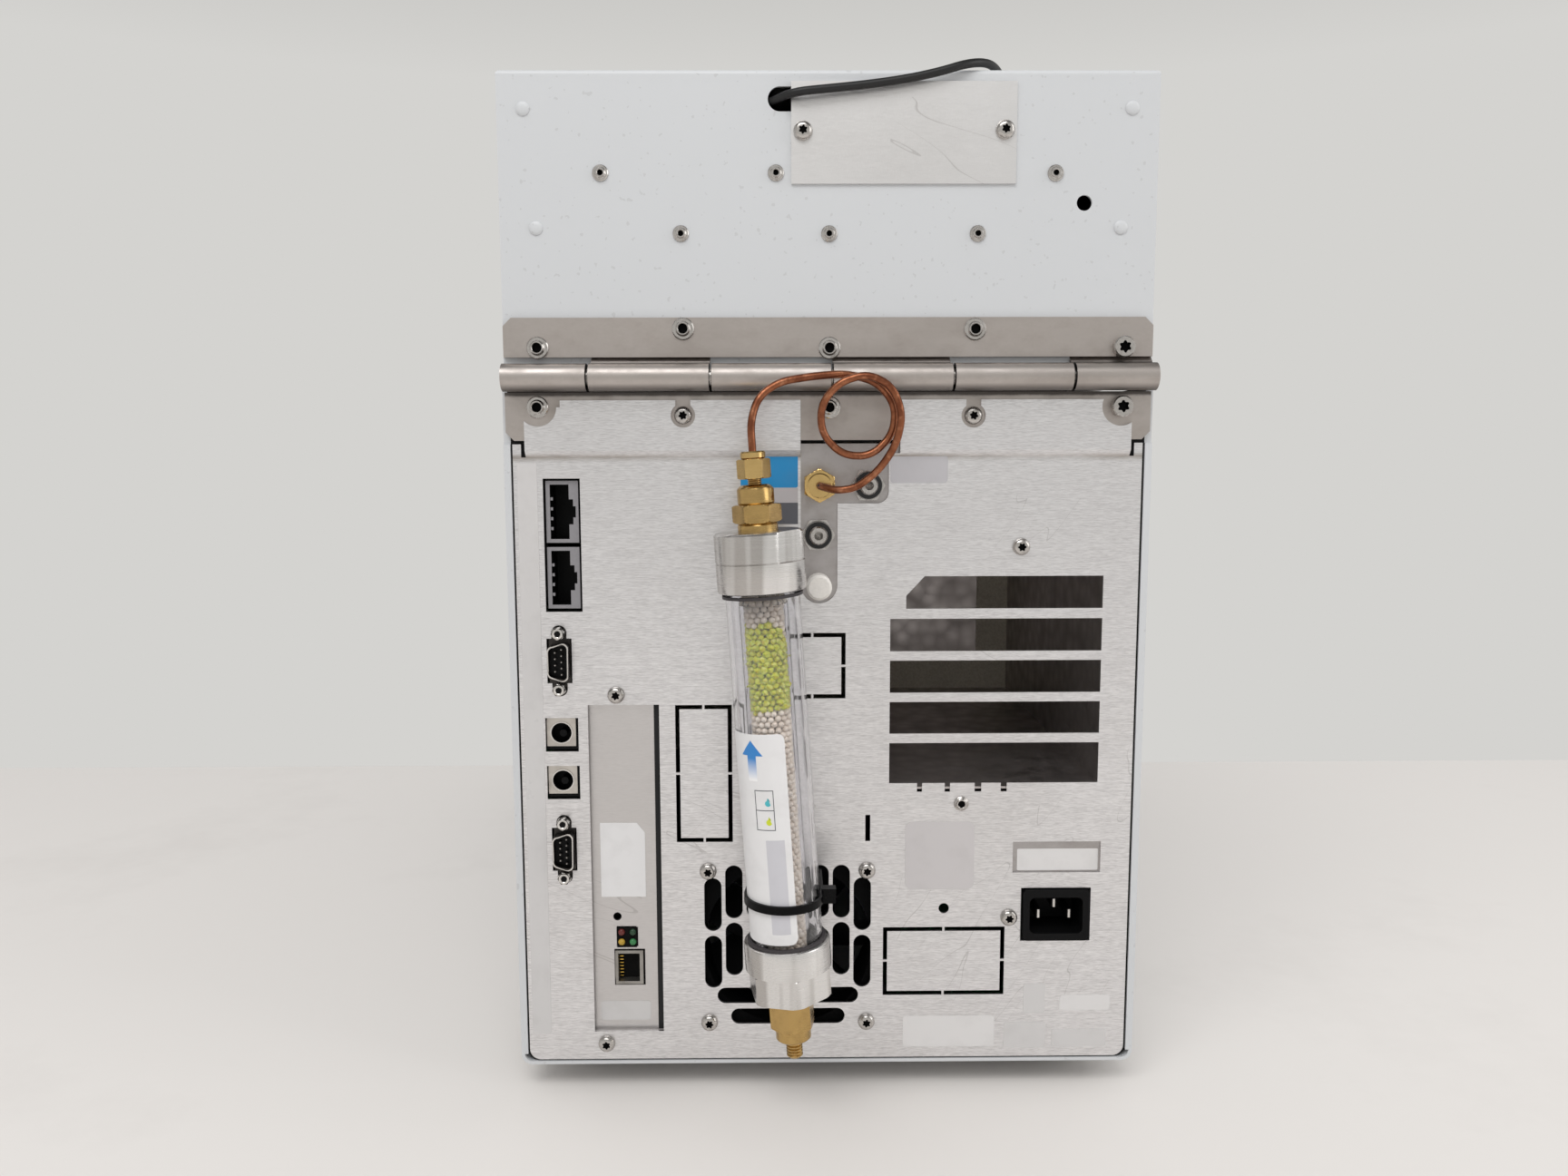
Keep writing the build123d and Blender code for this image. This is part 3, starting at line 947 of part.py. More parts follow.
def build_lid_inside():
    clear = 1.0
    x = (-LID_HALF + LID_SHEET, LID_HALF - LID_SHEET)
    y = (SHELL_FRONT, REAR_Y + BACK - LID_SHEET)
    pan = block(x, y, (up(PAN_BOTTOM), up(PAN_BOTTOM) + PAN_SHEET))
    (left, right), (near, far), drop = STRIKER
    striker = block((left, right), (SHELL_FRONT + near, SHELL_FRONT + far), (up(PAN_BOTTOM) - drop, up(PAN_BOTTOM) + PAN_SHEET))
    tab = block((left, right), (SHELL_FRONT + near, SHELL_FRONT + 1), (up(PAN_BOTTOM), up(PAN_BOTTOM) + PAN_SHEET))
    pan += striker + tab
    half = OVEN_WIDTH / 2 + OVEN_INSULATION
    low = up(PAN_BOTTOM) + PAN_SHEET
    stone = block((-half, half), (OVEN_FRONT_Y - OVEN_INSULATION + 2, STONE_BACK_Y), (low, low + STONE_TALL))
    for x0, y0 in (INLET_AT, DETECTOR_AT):
        pan -= Pos(x0, y0, low) * Cylinder(8.0 + clear / 2, 20)
        stone -= Pos(x0, y0, low) * Cylinder(8.0 + clear / 2, 4 * STONE_TALL)
    node("lid_pan", pan)
    ring = oven_box(GASKET_WIDTH + 3, OVEN_TOP - 1) - oven_box(3, OVEN_TOP - 2)
    tall = PAN_BOTTOM - OVEN_TOP - SEAT
    ring = ring & block((-HALF, HALF), (-CASE_DEPTH, CASE_DEPTH), (up(OVEN_TOP) - 1, up(OVEN_TOP) - 0.5))
    gasket = extrude(ring.faces().sort_by(Axis.Z)[-1], amount=tall)
    gasket = Pos(0, 0, 0.5 + SEAT) * gasket
    node("lid_insulation", Compound(stone.solids() + gasket.solids()))

    base, tip = low + STONE_TALL, up(PAN_BOTTOM) - NEEDLE_DROP
    x0, y0 = INLET_AT
    inlet = turned((0, tip), (3, tip), (3, up(PAN_BOTTOM)), (8, up(PAN_BOTTOM) + 0.01), (8, base),
                   (19, base), (19, base + 4), (12, base + 4), (12, up(LID_TOP) + 12), (15, up(LID_TOP) + 12),
                   (15, up(LID_TOP) + 16), (0, up(LID_TOP) + 16))
    nut = turned((1.5, 0), (11, 0), (12, 2), (12, 11), (9, 14), (1.5, 14))
    node("inlet_body", Pos(x0, y0, 0) * Compound([inlet.solid(), (Pos(0, 0, up(LID_TOP) + 16) * nut).solid()]))
    x0, y0 = DETECTOR_AT
    detector = turned((0, tip), (3, tip), (3, up(PAN_BOTTOM)), (8, up(PAN_BOTTOM) + 0.01), (8, base),
                      (22, base), (22, base + 5), (14, base + 5), (14, up(LID_TOP) + 6), (17, up(LID_TOP) + 8),
                      (17, up(LID_TOP) + 22), (10, up(LID_TOP) + 28), (10, up(LID_TOP) + 38), (6, up(LID_TOP) + 38),
                      (6, up(LID_TOP) + 30), (0, up(LID_TOP) + 30))
    node("detector_body", Pos(x0, y0, 0) * detector)


def build_column():
    x, y, height = COLUMN_AT
    axle = Pos(x, y, up(height)) * Rot(90, 0, 0)
    half = COLUMN_DEPTH / 2
    rings = [Pos(0, 0, side * (half + 2)) * Torus(COLUMN_RADIUS, 1.6) for side in (-1, 1)]
    bars = []
    for i in range(6):
        a = radians(30 + 60 * i)
        bars.append(Pos(COLUMN_RADIUS * cos(a), COLUMN_RADIUS * sin(a), 0) * Cylinder(1.2, 2 * half + 4))
    cage = axle * joined(rings + bars)
    rod = up(PAN_BOTTOM) - up(height) - COLUMN_RADIUS
    for side in (-1, 1):
        cage += Pos(x, y + side * (half + 2), up(PAN_BOTTOM) - rod / 2) * Cylinder(1.2, rod)
    node("column_basket", cage)
    coil = Circle(COLUMN_RADIUS + 6.5) - Circle(COLUMN_RADIUS + 1.6)
    node("column_coil", axle * layer(coil, -half + 2, half - 2))


def build_top_cover():
    (left, right), (near, far) = TOP_COVER
    low, tall, wall = up(LID_TOP) + SEAT, TOP_COVER_TALL, TOP_COVER_WALL
    outer = block((left, right), (near, far), (low, low + tall))
    outer = fillet(outer.edges().filter_by(Axis.Z), 10)
    outer = fillet(outer.faces().sort_by(Axis.Z)[-1].edges(), 6)
    inner = block((left + wall, right - wall), (near + wall, far - wall), (low - 1, low + tall - wall))
    inner = fillet(inner.edges().filter_by(Axis.Z), 10 - wall)
    cover = outer - inner
    axis_y, axis_z = far + COVER_AXIS[0], up(LID_TOP) + COVER_AXIS[1]
    thick, deep, high = EAR
    ears = []
    for side in (-1, 1):
        ear = block((-thick / 2, thick / 2), (axis_y - deep / 2, axis_y + deep / 2), (up(LID_TOP), up(LID_TOP) + high))
        ear = fillet(ear.edges().filter_by(Axis.X).sort_by(Axis.Z)[-2:], 5)
        ear -= Pos(0, axis_y, axis_z) * Rot(0, 90, 0) * Cylinder(COVER_PIN + PIN_FIT, 20)
        ears.append(Pos(side * COVER_EARS, 0, 0) * ear)
        lug_x = side * (COVER_EARS - thick - SEAT)
        lug = block((lug_x - thick / 2, lug_x + thick / 2), (far - wall, axis_y), (axis_z - 4, axis_z + 4))
        cover += lug + Pos(lug_x, axis_y, axis_z) * Rot(0, 90, 0) * Cylinder(4, thick)
        reach = COVER_EARS + thick / 2 + 1 - abs(lug_x)
        cover += Pos(side * (abs(lug_x) + reach / 2), axis_y, axis_z) * Rot(0, 90, 0) * Cylinder(COVER_PIN, reach)
    node("top_cover", cover)
    parts["lid_shell"] += joined(ears)


def build_lid_fittings():
    u, v, thick = COVER_PLATE
    plate = layer(window(u, v), BACK, BACK + thick)
    for centre in COVER_SCREWS:
        plate -= disc(*centre, SCREW_HOLE, BACK - 1, 1)
    node("cover_plate", REAR * plate)
    fixings = [stud(*spot) for spot in UPPER_STUDS] + [cap_screw(*UPPER_CAP)]
    fixings += [pan_screw(*spot, BACK + thick, radius=4.0) for spot in COVER_SCREWS]
    ring = turned((STANDOFF_HOLE, 0), (3.4, 0), (3.4, 0.7), (2.1, 0.7), (2.1, 1.9), (STANDOFF_HOLE, 1.9))
    fixings += [Pos(*spot, BACK) * ring for spot in STANDOFFS]
    rivet = turned((0, 0), (2.95, 0), (2.6, 0.5), (1.6, 0.9), (0, 1.0))
    fixings += [Pos(*spot, BACK) * rivet for spot in RIVETS]
    node("lid_fixings", REAR * joined(fixings))
    node("signal_cable", REAR * tube_along(CABLE_ROUTE, CABLE_RADIUS))
    (u0, v0, out0), (u1, v1, out1) = CABLE_ROUTE[0], CABLE_ROUTE[-1]
    wide, tall = CLAMP
    clamp = layer(window((u0 - wide, u0), (v0 - tall / 2, v0 + tall / 2), 2), out0 - 5, FRAME_BACK)
    wide, tall, long = BOOT
    boot = layer(window((u1 - wide / 2, u1 + wide / 2), (LID_TOP, LID_TOP + tall)), out1 - long, out1)
    boot = fillet(boot.edges().filter_by(Axis.Z).sort_by(Axis.Y)[-2:], 3)
    node("cable_grommets", REAR * joined([clamp, boot]))


# ---- front ----
LATCH = ((-24.0, 24.0), (from_top(30), from_top(12)))
LATCH_TRAVEL = 4.0
LATCH_STEM = 4.0
PANEL_X, PANEL_V = (from_right(124), from_right(16)), (from_top(84), from_top(44))
PANEL_THICK = 3.0
BUTTONS = {"start_button": from_right(110), "stop_button": from_right(88), "prep_button": from_right(66)}
PANEL_LAMPS = [from_right(46), from_right(35), from_right(24)]
BUTTON_RADIUS = 6.5
BUTTON_TRAVEL = 1.5
SWITCH = ((from_right(46), from_right(24)), (66.0, 90.0))
ROCKER_TILT = 8.0
LOWER_ARC = (60.0, 16.0)                  # height where the face turns, set-back at the foot
UPPER_ARC = (LID_TOP - 45.0, 30.0)        # height where the lid's face turns back, set-back at the top
PULL = ((-42.0, 42.0), 9.0, 12.0)


def moulding(low, high, grow, turns):
    """Front moulding between two heights, its face following the side profile."""
    face = FRONT_Y + grow
    points = turns(face)
    profile = make_face(points)
    half = HALF - grow
    body = extrude(Plane.YZ.offset(-half) * profile, amount=2 * half)
    corner = max(BEZEL_CORNER - grow, 1.0)
    outline = Pos(0, SHELL_FRONT - BEZEL_DEPTH / 2 + grow / 2 + 20) * RectangleRounded(2 * half, BEZEL_DEPTH - grow + 40, corner)
    return body & extrude(Pos(0, 0, up(low)) * outline, amount=high - low)


def body_profile(grow, back):
    turn, set_back = LOWER_ARC
    low, high = up(0) + grow, up(BODY_HEIGHT) - grow

    def sketch(face):
        mid = (face + set_back * 0.25, up(0) + turn * 0.5)
        curve = ThreePointArc((face + set_back, low), mid, (face, up(turn)))
        return curve + Polyline((face, up(turn)), (face, high), (back, high), (back, low), (face + set_back, low))
    return sketch


def lid_profile(grow, back):
    turn, set_back = UPPER_ARC
    low, high = up(LID_BOTTOM) + (grow - 20 if grow else 0), up(LID_TOP) - grow

    def sketch(face):
        mid = (face + set_back * 0.22, up(turn) + (LID_TOP - turn) * 0.66)
        curve = ThreePointArc((face, up(turn)), mid, (face + set_back, high))
        return curve + Polyline((face + set_back, high), (back, high), (back, low), (face, low), (face, up(turn)))
    return sketch


def build_front():
    wall = BEZEL_WALL
    bezel = moulding(0, BODY_HEIGHT, 0, body_profile(0, SHELL_FRONT))
    bezel -= moulding(0, BODY_HEIGHT, wall, body_profile(wall, SHELL_FRONT + 5))
    (left, right), (low, high) = LATCH
    gap = SEAT
    cut_y = (FRONT_Y - 5, FRONT_Y + wall + 1)
    bezel -= block((left - gap, right + gap), cut_y, (up(low) - gap, up(high) + gap))
    bezel -= block(PANEL_X, cut_y, (up(PANEL_V[0]), up(PANEL_V[1])))
    (p_left, p_right), (near, far), _ = STRIKER
    bezel -= block((p_left - 2, p_right + 2), (SHELL_FRONT + near - 3, SHELL_FRONT + far + 2),
                   (up(BODY_HEIGHT) - wall - 1, up(BODY_HEIGHT) + 1))
    (s_left, s_right), (s_low, s_high) = SWITCH
    bezel -= block((s_left, s_right), cut_y, (up(s_low), up(s_high)))
    node("front_bezel", bezel)

    lid_front = moulding(LID_BOTTOM, LID_TOP, 0, lid_profile(0, SHELL_FRONT))
    lid_front -= moulding(LID_BOTTOM - 20, LID_TOP, wall, lid_profile(wall, SHELL_FRONT + 5))
    (p_left, p_right), p_tall, p_deep = PULL
    lid_front -= block((p_left, p_right), (FRONT_Y - 5, FRONT_Y + p_deep), (up(LID_BOTTOM) - 1, up(LID_BOTTOM) + p_tall))
    scoop = block((p_left - wall, p_right + wall), (FRONT_Y + wall, FRONT_Y + p_deep + wall),
                  (up(LID_BOTTOM), up(LID_BOTTOM) + p_tall + wall))
    scoop -= block((p_left, p_right), (FRONT_Y - 5, FRONT_Y + p_deep), (up(LID_BOTTOM) - 1, up(LID_BOTTOM) + p_tall))
    node("lid_bezel", lid_front + scoop)

    latch = block((left, right), (FRONT_Y - 1.5, FRONT_Y + wall + gap), (up(low), up(high)))
    latch = fillet(latch.edges().filter_by(Axis.Y), 2)
    back = FRONT_Y + wall + gap
    latch += block((left - 3, right + 3), (back, back + 2.5), (up(low) - 3, up(high) + 3))
    middle = up((low + high) / 2)
    stem_end = SHELL_FRONT - LATCH_TRAVEL - 1
    stem = Rot(90, 0, 0) * Cylinder(LATCH_STEM, stem_end - back)
    latch += Pos(0, (stem_end + back) / 2, middle) * stem
    node("lid_latch", latch)
    guide = block((-18, 7), (SHELL_FRONT - 12, SHELL_FRONT), (middle - 10, middle + 10))
    guide -= Pos(0, SHELL_FRONT - 10, middle) * Rot(90, 0, 0) * Cylinder(LATCH_STEM + PIN_FIT, 30)

    face = FRONT_Y
    panel = block(PANEL_X, (face, face + PANEL_THICK), (up(PANEL_V[0]), up(PANEL_V[1])))
    rim = block((PANEL_X[0] - 4, PANEL_X[1] + 4), (face + wall, face + wall + 1.5),
                (up(PANEL_V[0]) - 4, up(PANEL_V[1]) + 4))
    panel += rim
    line = up((PANEL_V[0] + PANEL_V[1]) / 2)
    for x in BUTTONS.values():
        panel -= Pos(x, face, line) * Rot(90, 0, 0) * Cylinder(BUTTON_RADIUS + SEAT, 20)
    for x in PANEL_LAMPS:
        panel -= Pos(x, face, line) * Rot(90, 0, 0) * Cylinder(2.2, 3)
    switch_board = block((PANEL_X[0] - 2, PANEL_X[1] + 2), (face + 10.5, face + 12.1), (up(PANEL_V[0]), up(PANEL_V[1])))
    for x in (PANEL_X[0] + 2, PANEL_X[1] - 2):
        for z in (up(PANEL_V[0]) + 3, up(PANEL_V[1]) - 3):
            switch_board += Pos(x, face + wall + 1.5 + 3.25, z) * Rot(90, 0, 0) * Cylinder(2, 6.5)
    node("control_panel", Compound(panel.solids() + switch_board.solids() + guide.solids()))
    for name, x in BUTTONS.items():
        cap = Pos(x, 0, line) * Rot(90, 0, 0)
        stem = face + 10.5 - BUTTON_TRAVEL - SEAT
        button = disc(0, 0, BUTTON_RADIUS, -(face + wall + 1.8), -(face - 1.8))
        button = fillet(button.edges().filter_by(GeomType.CIRCLE).sort_by(Axis.Z)[-1], 0.8)
        button += disc(0, 0, BUTTON_RADIUS + 1.2, -(face + wall + 1.8 + 1.5), -(face + wall + 1.8))
        button += disc(0, 0, 2.0, -stem, -(face + wall + 1.8))
        node(name, cap * button)

    middle_x, middle_z = (s_left + s_right) / 2, up((s_low + s_high) / 2)
    axis_y = face + 6.0
    frame = block((s_left, s_right), (face, face + 20), (up(s_low), up(s_high)))
    frame += block((s_left - 2, s_right + 2), (face - 1.2, face), (up(s_low) - 2, up(s_high) + 2))
    frame -= block((s_left + 2, s_right - 2), (face - 5, face + 17), (up(s_low) + 2, up(s_high) - 2))
    half_x = (s_right - s_left) / 2 - 2
    for side in (-1, 1):
        frame -= Pos(middle_x + side * half_x, axis_y, middle_z) * Rot(0, 90, 0) * Cylinder(1.5 + PIN_FIT, 2.4)
    parts["control_panel"] = Compound(parts["control_panel"].solids() + frame.solids())
    tall = (s_high - s_low) / 2 - 2 - SEAT
    curve = ThreePointArc((-tall + 0.6, -4.6), (0, -6.6), (tall - 0.6, -4.6))
    outline = curve + Polyline((tall - 0.6, -4.6), (tall - 1.2, 1.0), (0, 4.0), (-tall + 1.2, 1.0), (-tall + 0.6, -4.6))
    rocker = extrude(Plane.YZ * Rot(0, 0, 90) * mirror(make_face(outline), Plane.XZ), amount=half_x - SEAT, both=True)
    rocker += Rot(0, 90, 0) * Cylinder(1.5, 2 * half_x + 1.6)
    node("power_switch", Pos(middle_x, axis_y, middle_z) * Rot(ROCKER_TILT, 0, 0) * rocker)


def main():
    build_case()
    build_rear()
    build_panel_screws()
    build_hinge()
    build_gas()
    build_trap()
    build_tie()
    build_sockets()
    build_mains()
    build_boards()
    build_cooling_fan()
    build_oven()
    build_exhaust()
    build_lid_shell()
    build_lid_inside()
    build_column()
    build_top_cover()
    build_lid_fittings()
    build_front()
    os.makedirs("parts", exist_ok=True)
    for name, shape in parts.items():
        export_step(shape, f"parts/{name}.step")
    print(len(parts), "nodes")


main()
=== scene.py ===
import math
import random

import bmesh
import bpy
from mathutils import Matrix, Vector


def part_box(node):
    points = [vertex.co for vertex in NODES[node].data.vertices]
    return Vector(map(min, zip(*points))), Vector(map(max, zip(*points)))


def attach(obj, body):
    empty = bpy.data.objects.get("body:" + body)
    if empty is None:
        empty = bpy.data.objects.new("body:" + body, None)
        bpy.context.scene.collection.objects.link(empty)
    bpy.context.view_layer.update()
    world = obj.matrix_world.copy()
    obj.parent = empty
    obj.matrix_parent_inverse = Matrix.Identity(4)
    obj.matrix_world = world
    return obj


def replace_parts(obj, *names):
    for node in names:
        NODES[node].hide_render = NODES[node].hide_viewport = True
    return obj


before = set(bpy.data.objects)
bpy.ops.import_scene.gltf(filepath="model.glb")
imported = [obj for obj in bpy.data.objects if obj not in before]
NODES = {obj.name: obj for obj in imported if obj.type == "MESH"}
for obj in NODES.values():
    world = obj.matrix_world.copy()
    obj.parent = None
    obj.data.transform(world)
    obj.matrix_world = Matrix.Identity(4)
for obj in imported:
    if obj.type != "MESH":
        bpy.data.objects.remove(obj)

bl_info = {
    "name": "Gas chromatograph finishes",
    "version": (1, 0, 0),
    "blender": (4, 5, 0),
    "location": "3D View > Sidebar > Chromatograph",
    "description": "Finishes, labels and fine pieces of a compact top-opening gas chromatograph",
    "category": "Object",
}

MM = 0.001
FINE_BUMP = 0.0001
CASE_LOW, CASE_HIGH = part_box("case_shell")
REAR_Y = CASE_HIGH.y
SEED = 7


# ---- places ----
def rear(u, v, out=0.0):
    """Point by the rear panel in mm: u rightwards from behind, v above the case's edge, out from the panel."""
    return Vector((-u * MM, REAR_Y + out * MM, CASE_LOW.z + v * MM))


BARREL_FOOT = rear(0, 304.05).z
BARREL_TOP = rear(0, 315.75).z
KNUCKLE_SPLITS = [-101.9, -50.2, 1.1, 52.4, 103.1]
TRAP_FOOT = (-15.4, 19.4)
TRAP_REACH = 30.0
TRAP_TILT = math.radians(3.72)
TRAP_TUBE = 15.4
TRAP = Matrix.Translation(rear(*TRAP_FOOT, TRAP_REACH)) @ Matrix.Rotation(TRAP_TILT, 4, "Y")


def shade(code):
    """Linear colour of a six-digit screen colour."""
    parts = [int(code[i:i + 2], 16) / 255 for i in (0, 2, 4)]
    return tuple(p / 12.92 if p <= 0.04045 else ((p + 0.055) / 1.055) ** 2.4 for p in parts) + (1.0,)


# ---- shader maths ----
class Wire:
    """A node's output, to which Python's operators add Math nodes."""

    def __init__(self, finish, socket):
        self.finish = finish
        self.socket = socket

    def maths(self, operation, *terms):
        return self.finish.add("ShaderNodeMath", {"operation": operation}, dict(enumerate(terms)))

    def __abs__(self):
        return self.maths("ABSOLUTE", self)


def operator(operation):
    """Python operator that adds a Math node."""
    return lambda wire, other: wire.maths(operation, wire, other)


for _method, _operation in {"add": "ADD", "sub": "SUBTRACT", "mul": "MULTIPLY", "gt": "GREATER_THAN",
                            "lt": "LESS_THAN"}.items():
    setattr(Wire, f"__{_method}__", operator(_operation))


class Graph:
    """A node tree that is built node by node."""

    def __init__(self, tree):
        self.tree = tree

    def feed(self, socket, value):
        if isinstance(value, Wire):
            self.tree.links.new(value.socket, socket)
        else:
            socket.default_value = value

    def add(self, kind, settings=None, inputs=None, output=0):
        """Adds a node, with its settings first and then its sockets."""
        made = self.tree.nodes.new(kind)
        for name, value in (settings or {}).items():
            setattr(made, name, value)
        for name, value in (inputs or {}).items():
            self.feed(made.inputs[name], value)
        return Wire(self, made.outputs[output] if made.outputs else None)

    def between(self, value, low, high, start=0.0, end=1.0):
        """Value's span from low to high, as start to end, held at both ends."""
        return self.add("ShaderNodeMapRange", {"clamp": True},
                        {"Value": value, "From Min": low, "From Max": high, "To Min": start, "To Max": end})


class Finish(Graph):
    """A material whose Principled shader is dressed node by node."""

    def __init__(self, name, colour, rough, metal=0.0, **sockets):
        self.material = bpy.data.materials.new(name)
        self.material.use_nodes = True
        super().__init__(self.material.node_tree)
        self.shader = self.tree.nodes["Principled BSDF"]
        self.colour = shade(colour) if isinstance(colour, str) else (*colour, 1.0)
        self.put(base_color=self.colour, roughness=rough, metallic=metal, **sockets)

    def put(self, **sockets):
        """Sets or links the shader's sockets, named in lower case."""
        for name, value in sockets.items():
            title = name.replace("_", " ").title().replace("Ior", "IOR")
            self.feed(self.shader.inputs[title], value)
        return self

    def place(self, stretch=(1, 1, 1), turn=0.0):
        """Object coordinates in metres, turned about the depth axis and stretched."""
        found = self.add("ShaderNodeTexCoord", output="Object")
        if turn:
            found = self.add("ShaderNodeVectorRotate", {"rotation_type": "Y_AXIS"},
                             {"Vector": found, "Angle": math.radians(turn)})
        return self.add("ShaderNodeVectorMath", {"operation": "MULTIPLY"}, {0: found, 1: stretch})

    def noise(self, scale, detail=3.0, stretch=(1, 1, 1), turn=0.0, rough=0.5):
        spot = self.place(stretch, turn)
        return self.add("ShaderNodeTexNoise", None,
                        {"Vector": spot, "Scale": scale, "Detail": detail, "Roughness": rough})

    def mix(self, factor, first, second):
        return self.add("ShaderNodeMix", {"data_type": "RGBA"}, {0: factor, 6: first, 7: second}, output=2)

    def tint(self, factor, code):
        """Lays another colour over the base colour where the factor says."""
        base = self.shader.inputs["Base Color"]
        first = Wire(self, base.links[0].from_socket) if base.is_linked else self.colour
        return self.put(base_color=self.mix(factor, first, shade(code)))

    def stain(self, value, low, high, most, code):
        """Tints up to a share where the value rises from low to high."""
        return self.tint(self.between(value, low, high, 0.0, most), code)

    def roughen(self, value, low, high, smooth, rough):
        return self.put(roughness=self.between(value, low, high, smooth, rough))

    def along(self, axis):
        """One of the object's coordinates in metres."""
        return self.add("ShaderNodeSeparateXYZ", None, {"Vector": self.place()}, output=axis)

    def band(self, value, centre, edges):
        """One within a band about the centre, given where it starts and ends to rise and to fall."""
        low, full, fading, high = (centre + edge for edge in edges)
        return self.between(value, low, full) - self.between(value, fading, high)

    def bump(self, height, strength, distance=FINE_BUMP):
        terms = {"Strength": strength, "Distance": distance, "Height": height}
        return self.put(normal=self.add("ShaderNodeBump", None, terms))

    def lit_through(self):
        """Lets light pass the clear piece on its way to what it holds."""
        shadow = self.add("ShaderNodeLightPath", output="Is Shadow Ray")
        open_air = self.add("ShaderNodeBsdfTransparent", None, {"Color": (0.93, 0.93, 0.93, 1.0)})
        surface = Wire(self, self.shader.outputs[0])
        both = self.add("ShaderNodeMixShader", None, {0: shadow, 1: surface, 2: open_air})
        self.feed(self.tree.nodes["Material Output"].inputs["Surface"], both)
        return self

    def scratches(self, turn, density=0.57, width=0.004):
        """Fine lines along a slant, kept in a few patches."""
        field = self.noise(26.0, 1.0, (0.5, 0.5, 3.0), turn)
        patch = self.noise(11.0, 0.0, turn=turn + 35) > density
        return (abs(field - 0.5) < width) * patch


# ---- finishes ----
def powder_coat(name, colour, rough=0.42):
    """Sprayed paint with a faint orange peel and slight handling marks."""
    coat = Finish(name, colour, rough, coat_weight=0.12, coat_roughness=0.25)
    cloud = coat.noise(5.0, 4.0)
    coat.stain(cloud, 0.35, 0.7, 0.06, "9a9c9d")
    speck = coat.noise(420.0, 1.0) > 0.72
    coat.tint(speck * 0.18, "85827e")
    smudge = coat.noise(2.2, 5.0, rough=0.65)
    coat.roughen(smudge, 0.3, 0.7, rough - 0.07, rough + 0.12)
    return coat.bump(coat.noise(900.0, 2.0), 0.12)


def brushed_steel(name, colour, rough=0.36, depth=0.12, contrast=0.22, stain="a9a5a2", joggle=0.0):
    """Sheet brushed across its width, with faint clouds and stray scratches."""
    sheet = Finish(name, colour, rough, 1.0)
    fine = sheet.noise(1.0, 2.0, (380.0, 380.0, 4600.0))
    broad = sheet.noise(1.0, 2.0, (120.0, 120.0, 1900.0))
    grain = fine * 0.7 + broad * 0.3
    sheet.stain(grain, 0.36, 0.66, contrast, stain)
    sheet.stain(sheet.noise(7.0, 5.0, rough=0.6), 0.45, 0.75, 0.22, "b8b3af")
    if joggle:
        soiled = sheet.between(sheet.noise(22.0, 4.0), 0.35, 0.65, 0.25, 0.8)
        sheet.tint(sheet.band(sheet.along("Z"), joggle, (-0.0022, 0.0, 0.0002, 0.0018)) * soiled, "877a6c")
    marks = sheet.scratches(24, 0.64, 0.003) + sheet.scratches(-58, 0.66, 0.002)
    sheet.tint(marks * 0.3, "8f8b88")
    sheet.roughen(grain, 0.35, 0.68, rough - 0.06, rough + 0.1)
    return sheet.bump(grain + marks * -0.4, depth)


def satin_steel(name, colour, rough=0.38, dark="8d847d", mottled=0.3, smeared=0.4):
    """Rolled stainless steel with a soft mottle and dark smears."""
    sheet = Finish(name, colour, rough, 1.0)
    mottle = sheet.noise(90.0, 5.0, (1, 1, 1.6), rough=0.65)
    sheet.stain(mottle, 0.42, 0.72, mottled, dark)
    sheet.stain(sheet.noise(12.0, 4.0, (1.0, 1.0, 4.0)), 0.50, 0.74, smeared, dark)
    sheet.roughen(mottle, 0.3, 0.7, rough - 0.08, rough + 0.12)
    return sheet.bump(sheet.noise(1.0, 2.0, (70, 70, 1500)), 0.1)


def hinge_steel(name, colour):
    """Satin steel with painted shade in the slots between the knuckles and painted shadow where the leaves run in
    under the barrel and just above it.
    """
    sheet = satin_steel(name, colour, 0.42, mottled=0.25, smeared=0.35)
    level, across = sheet.along("Z"), sheet.along("X")
    on_barrel = (level > BARREL_FOOT) * (level < BARREL_TOP)
    # Painted shade: a dark line in each gap between the knuckles.
    for split in KNUCKLE_SPLITS:
        sheet.tint((abs(across + split * MM) < 0.0006) * on_barrel * 0.95, "100e0d")
    mottle = sheet.noise(90.0, 5.0, (1, 1, 1.6), rough=0.65)
    height = level + mottle * 0.0012
    # Painted shadow: a dark band on the leaf under the barrel and one just above it, where the barrel shades the
    # leaves.
    below = sheet.band(height, BARREL_FOOT, (-0.0016, -0.0006, 0.0004, 0.0036))
    above = sheet.band(height, BARREL_TOP, (-0.0002, 0.0004, 0.0012, 0.0022))
    sheet.tint((below + above) * 0.8, "2e2a28")
    return sheet.roughen(mottle, 0.3, 0.7, 0.36, 0.54)


def turned_metal(name, colour, dark, rough=0.26, stained=0.55):
    """Machined metal with fine tool rings and a touch of tarnish."""
    metal = Finish(name, colour, rough, 1.0)
    rings = metal.noise(1.0, 2.0, (40.0, 40.0, 1500.0))
    patina = metal.noise(150.0, 4.0, rough=0.6)
    metal.stain(patina, 0.42, 0.72, stained, dark)
    metal.roughen(rings * 0.5 + patina * 0.5, 0.3, 0.7, rough - 0.08, rough + 0.14)
    return metal.bump(rings, 0.15)


def turned_aluminium(name):
    """Smooth lathe-turned aluminium with hardly visible tool rings and painted reflections: dark bands running
    along its length.
    """
    metal = Finish(name, "dedcda", 0.24, 1.0)
    rings = metal.noise(1.0, 1.0, (12.0, 12.0, 2600.0))
    # Painted reflections: noise that varies only around the axis darkens the metal in stripes along it, standing
    # for reflections in turned metal.
    facing = metal.noise(1.0, 2.0, (95.0, 95.0, 6.0))
    metal.stain(facing, 0.46, 0.58, 0.6, "96908a")
    metal.roughen(rings, 0.3, 0.7, 0.2, 0.3)
    return metal.bump(rings, 0.05)


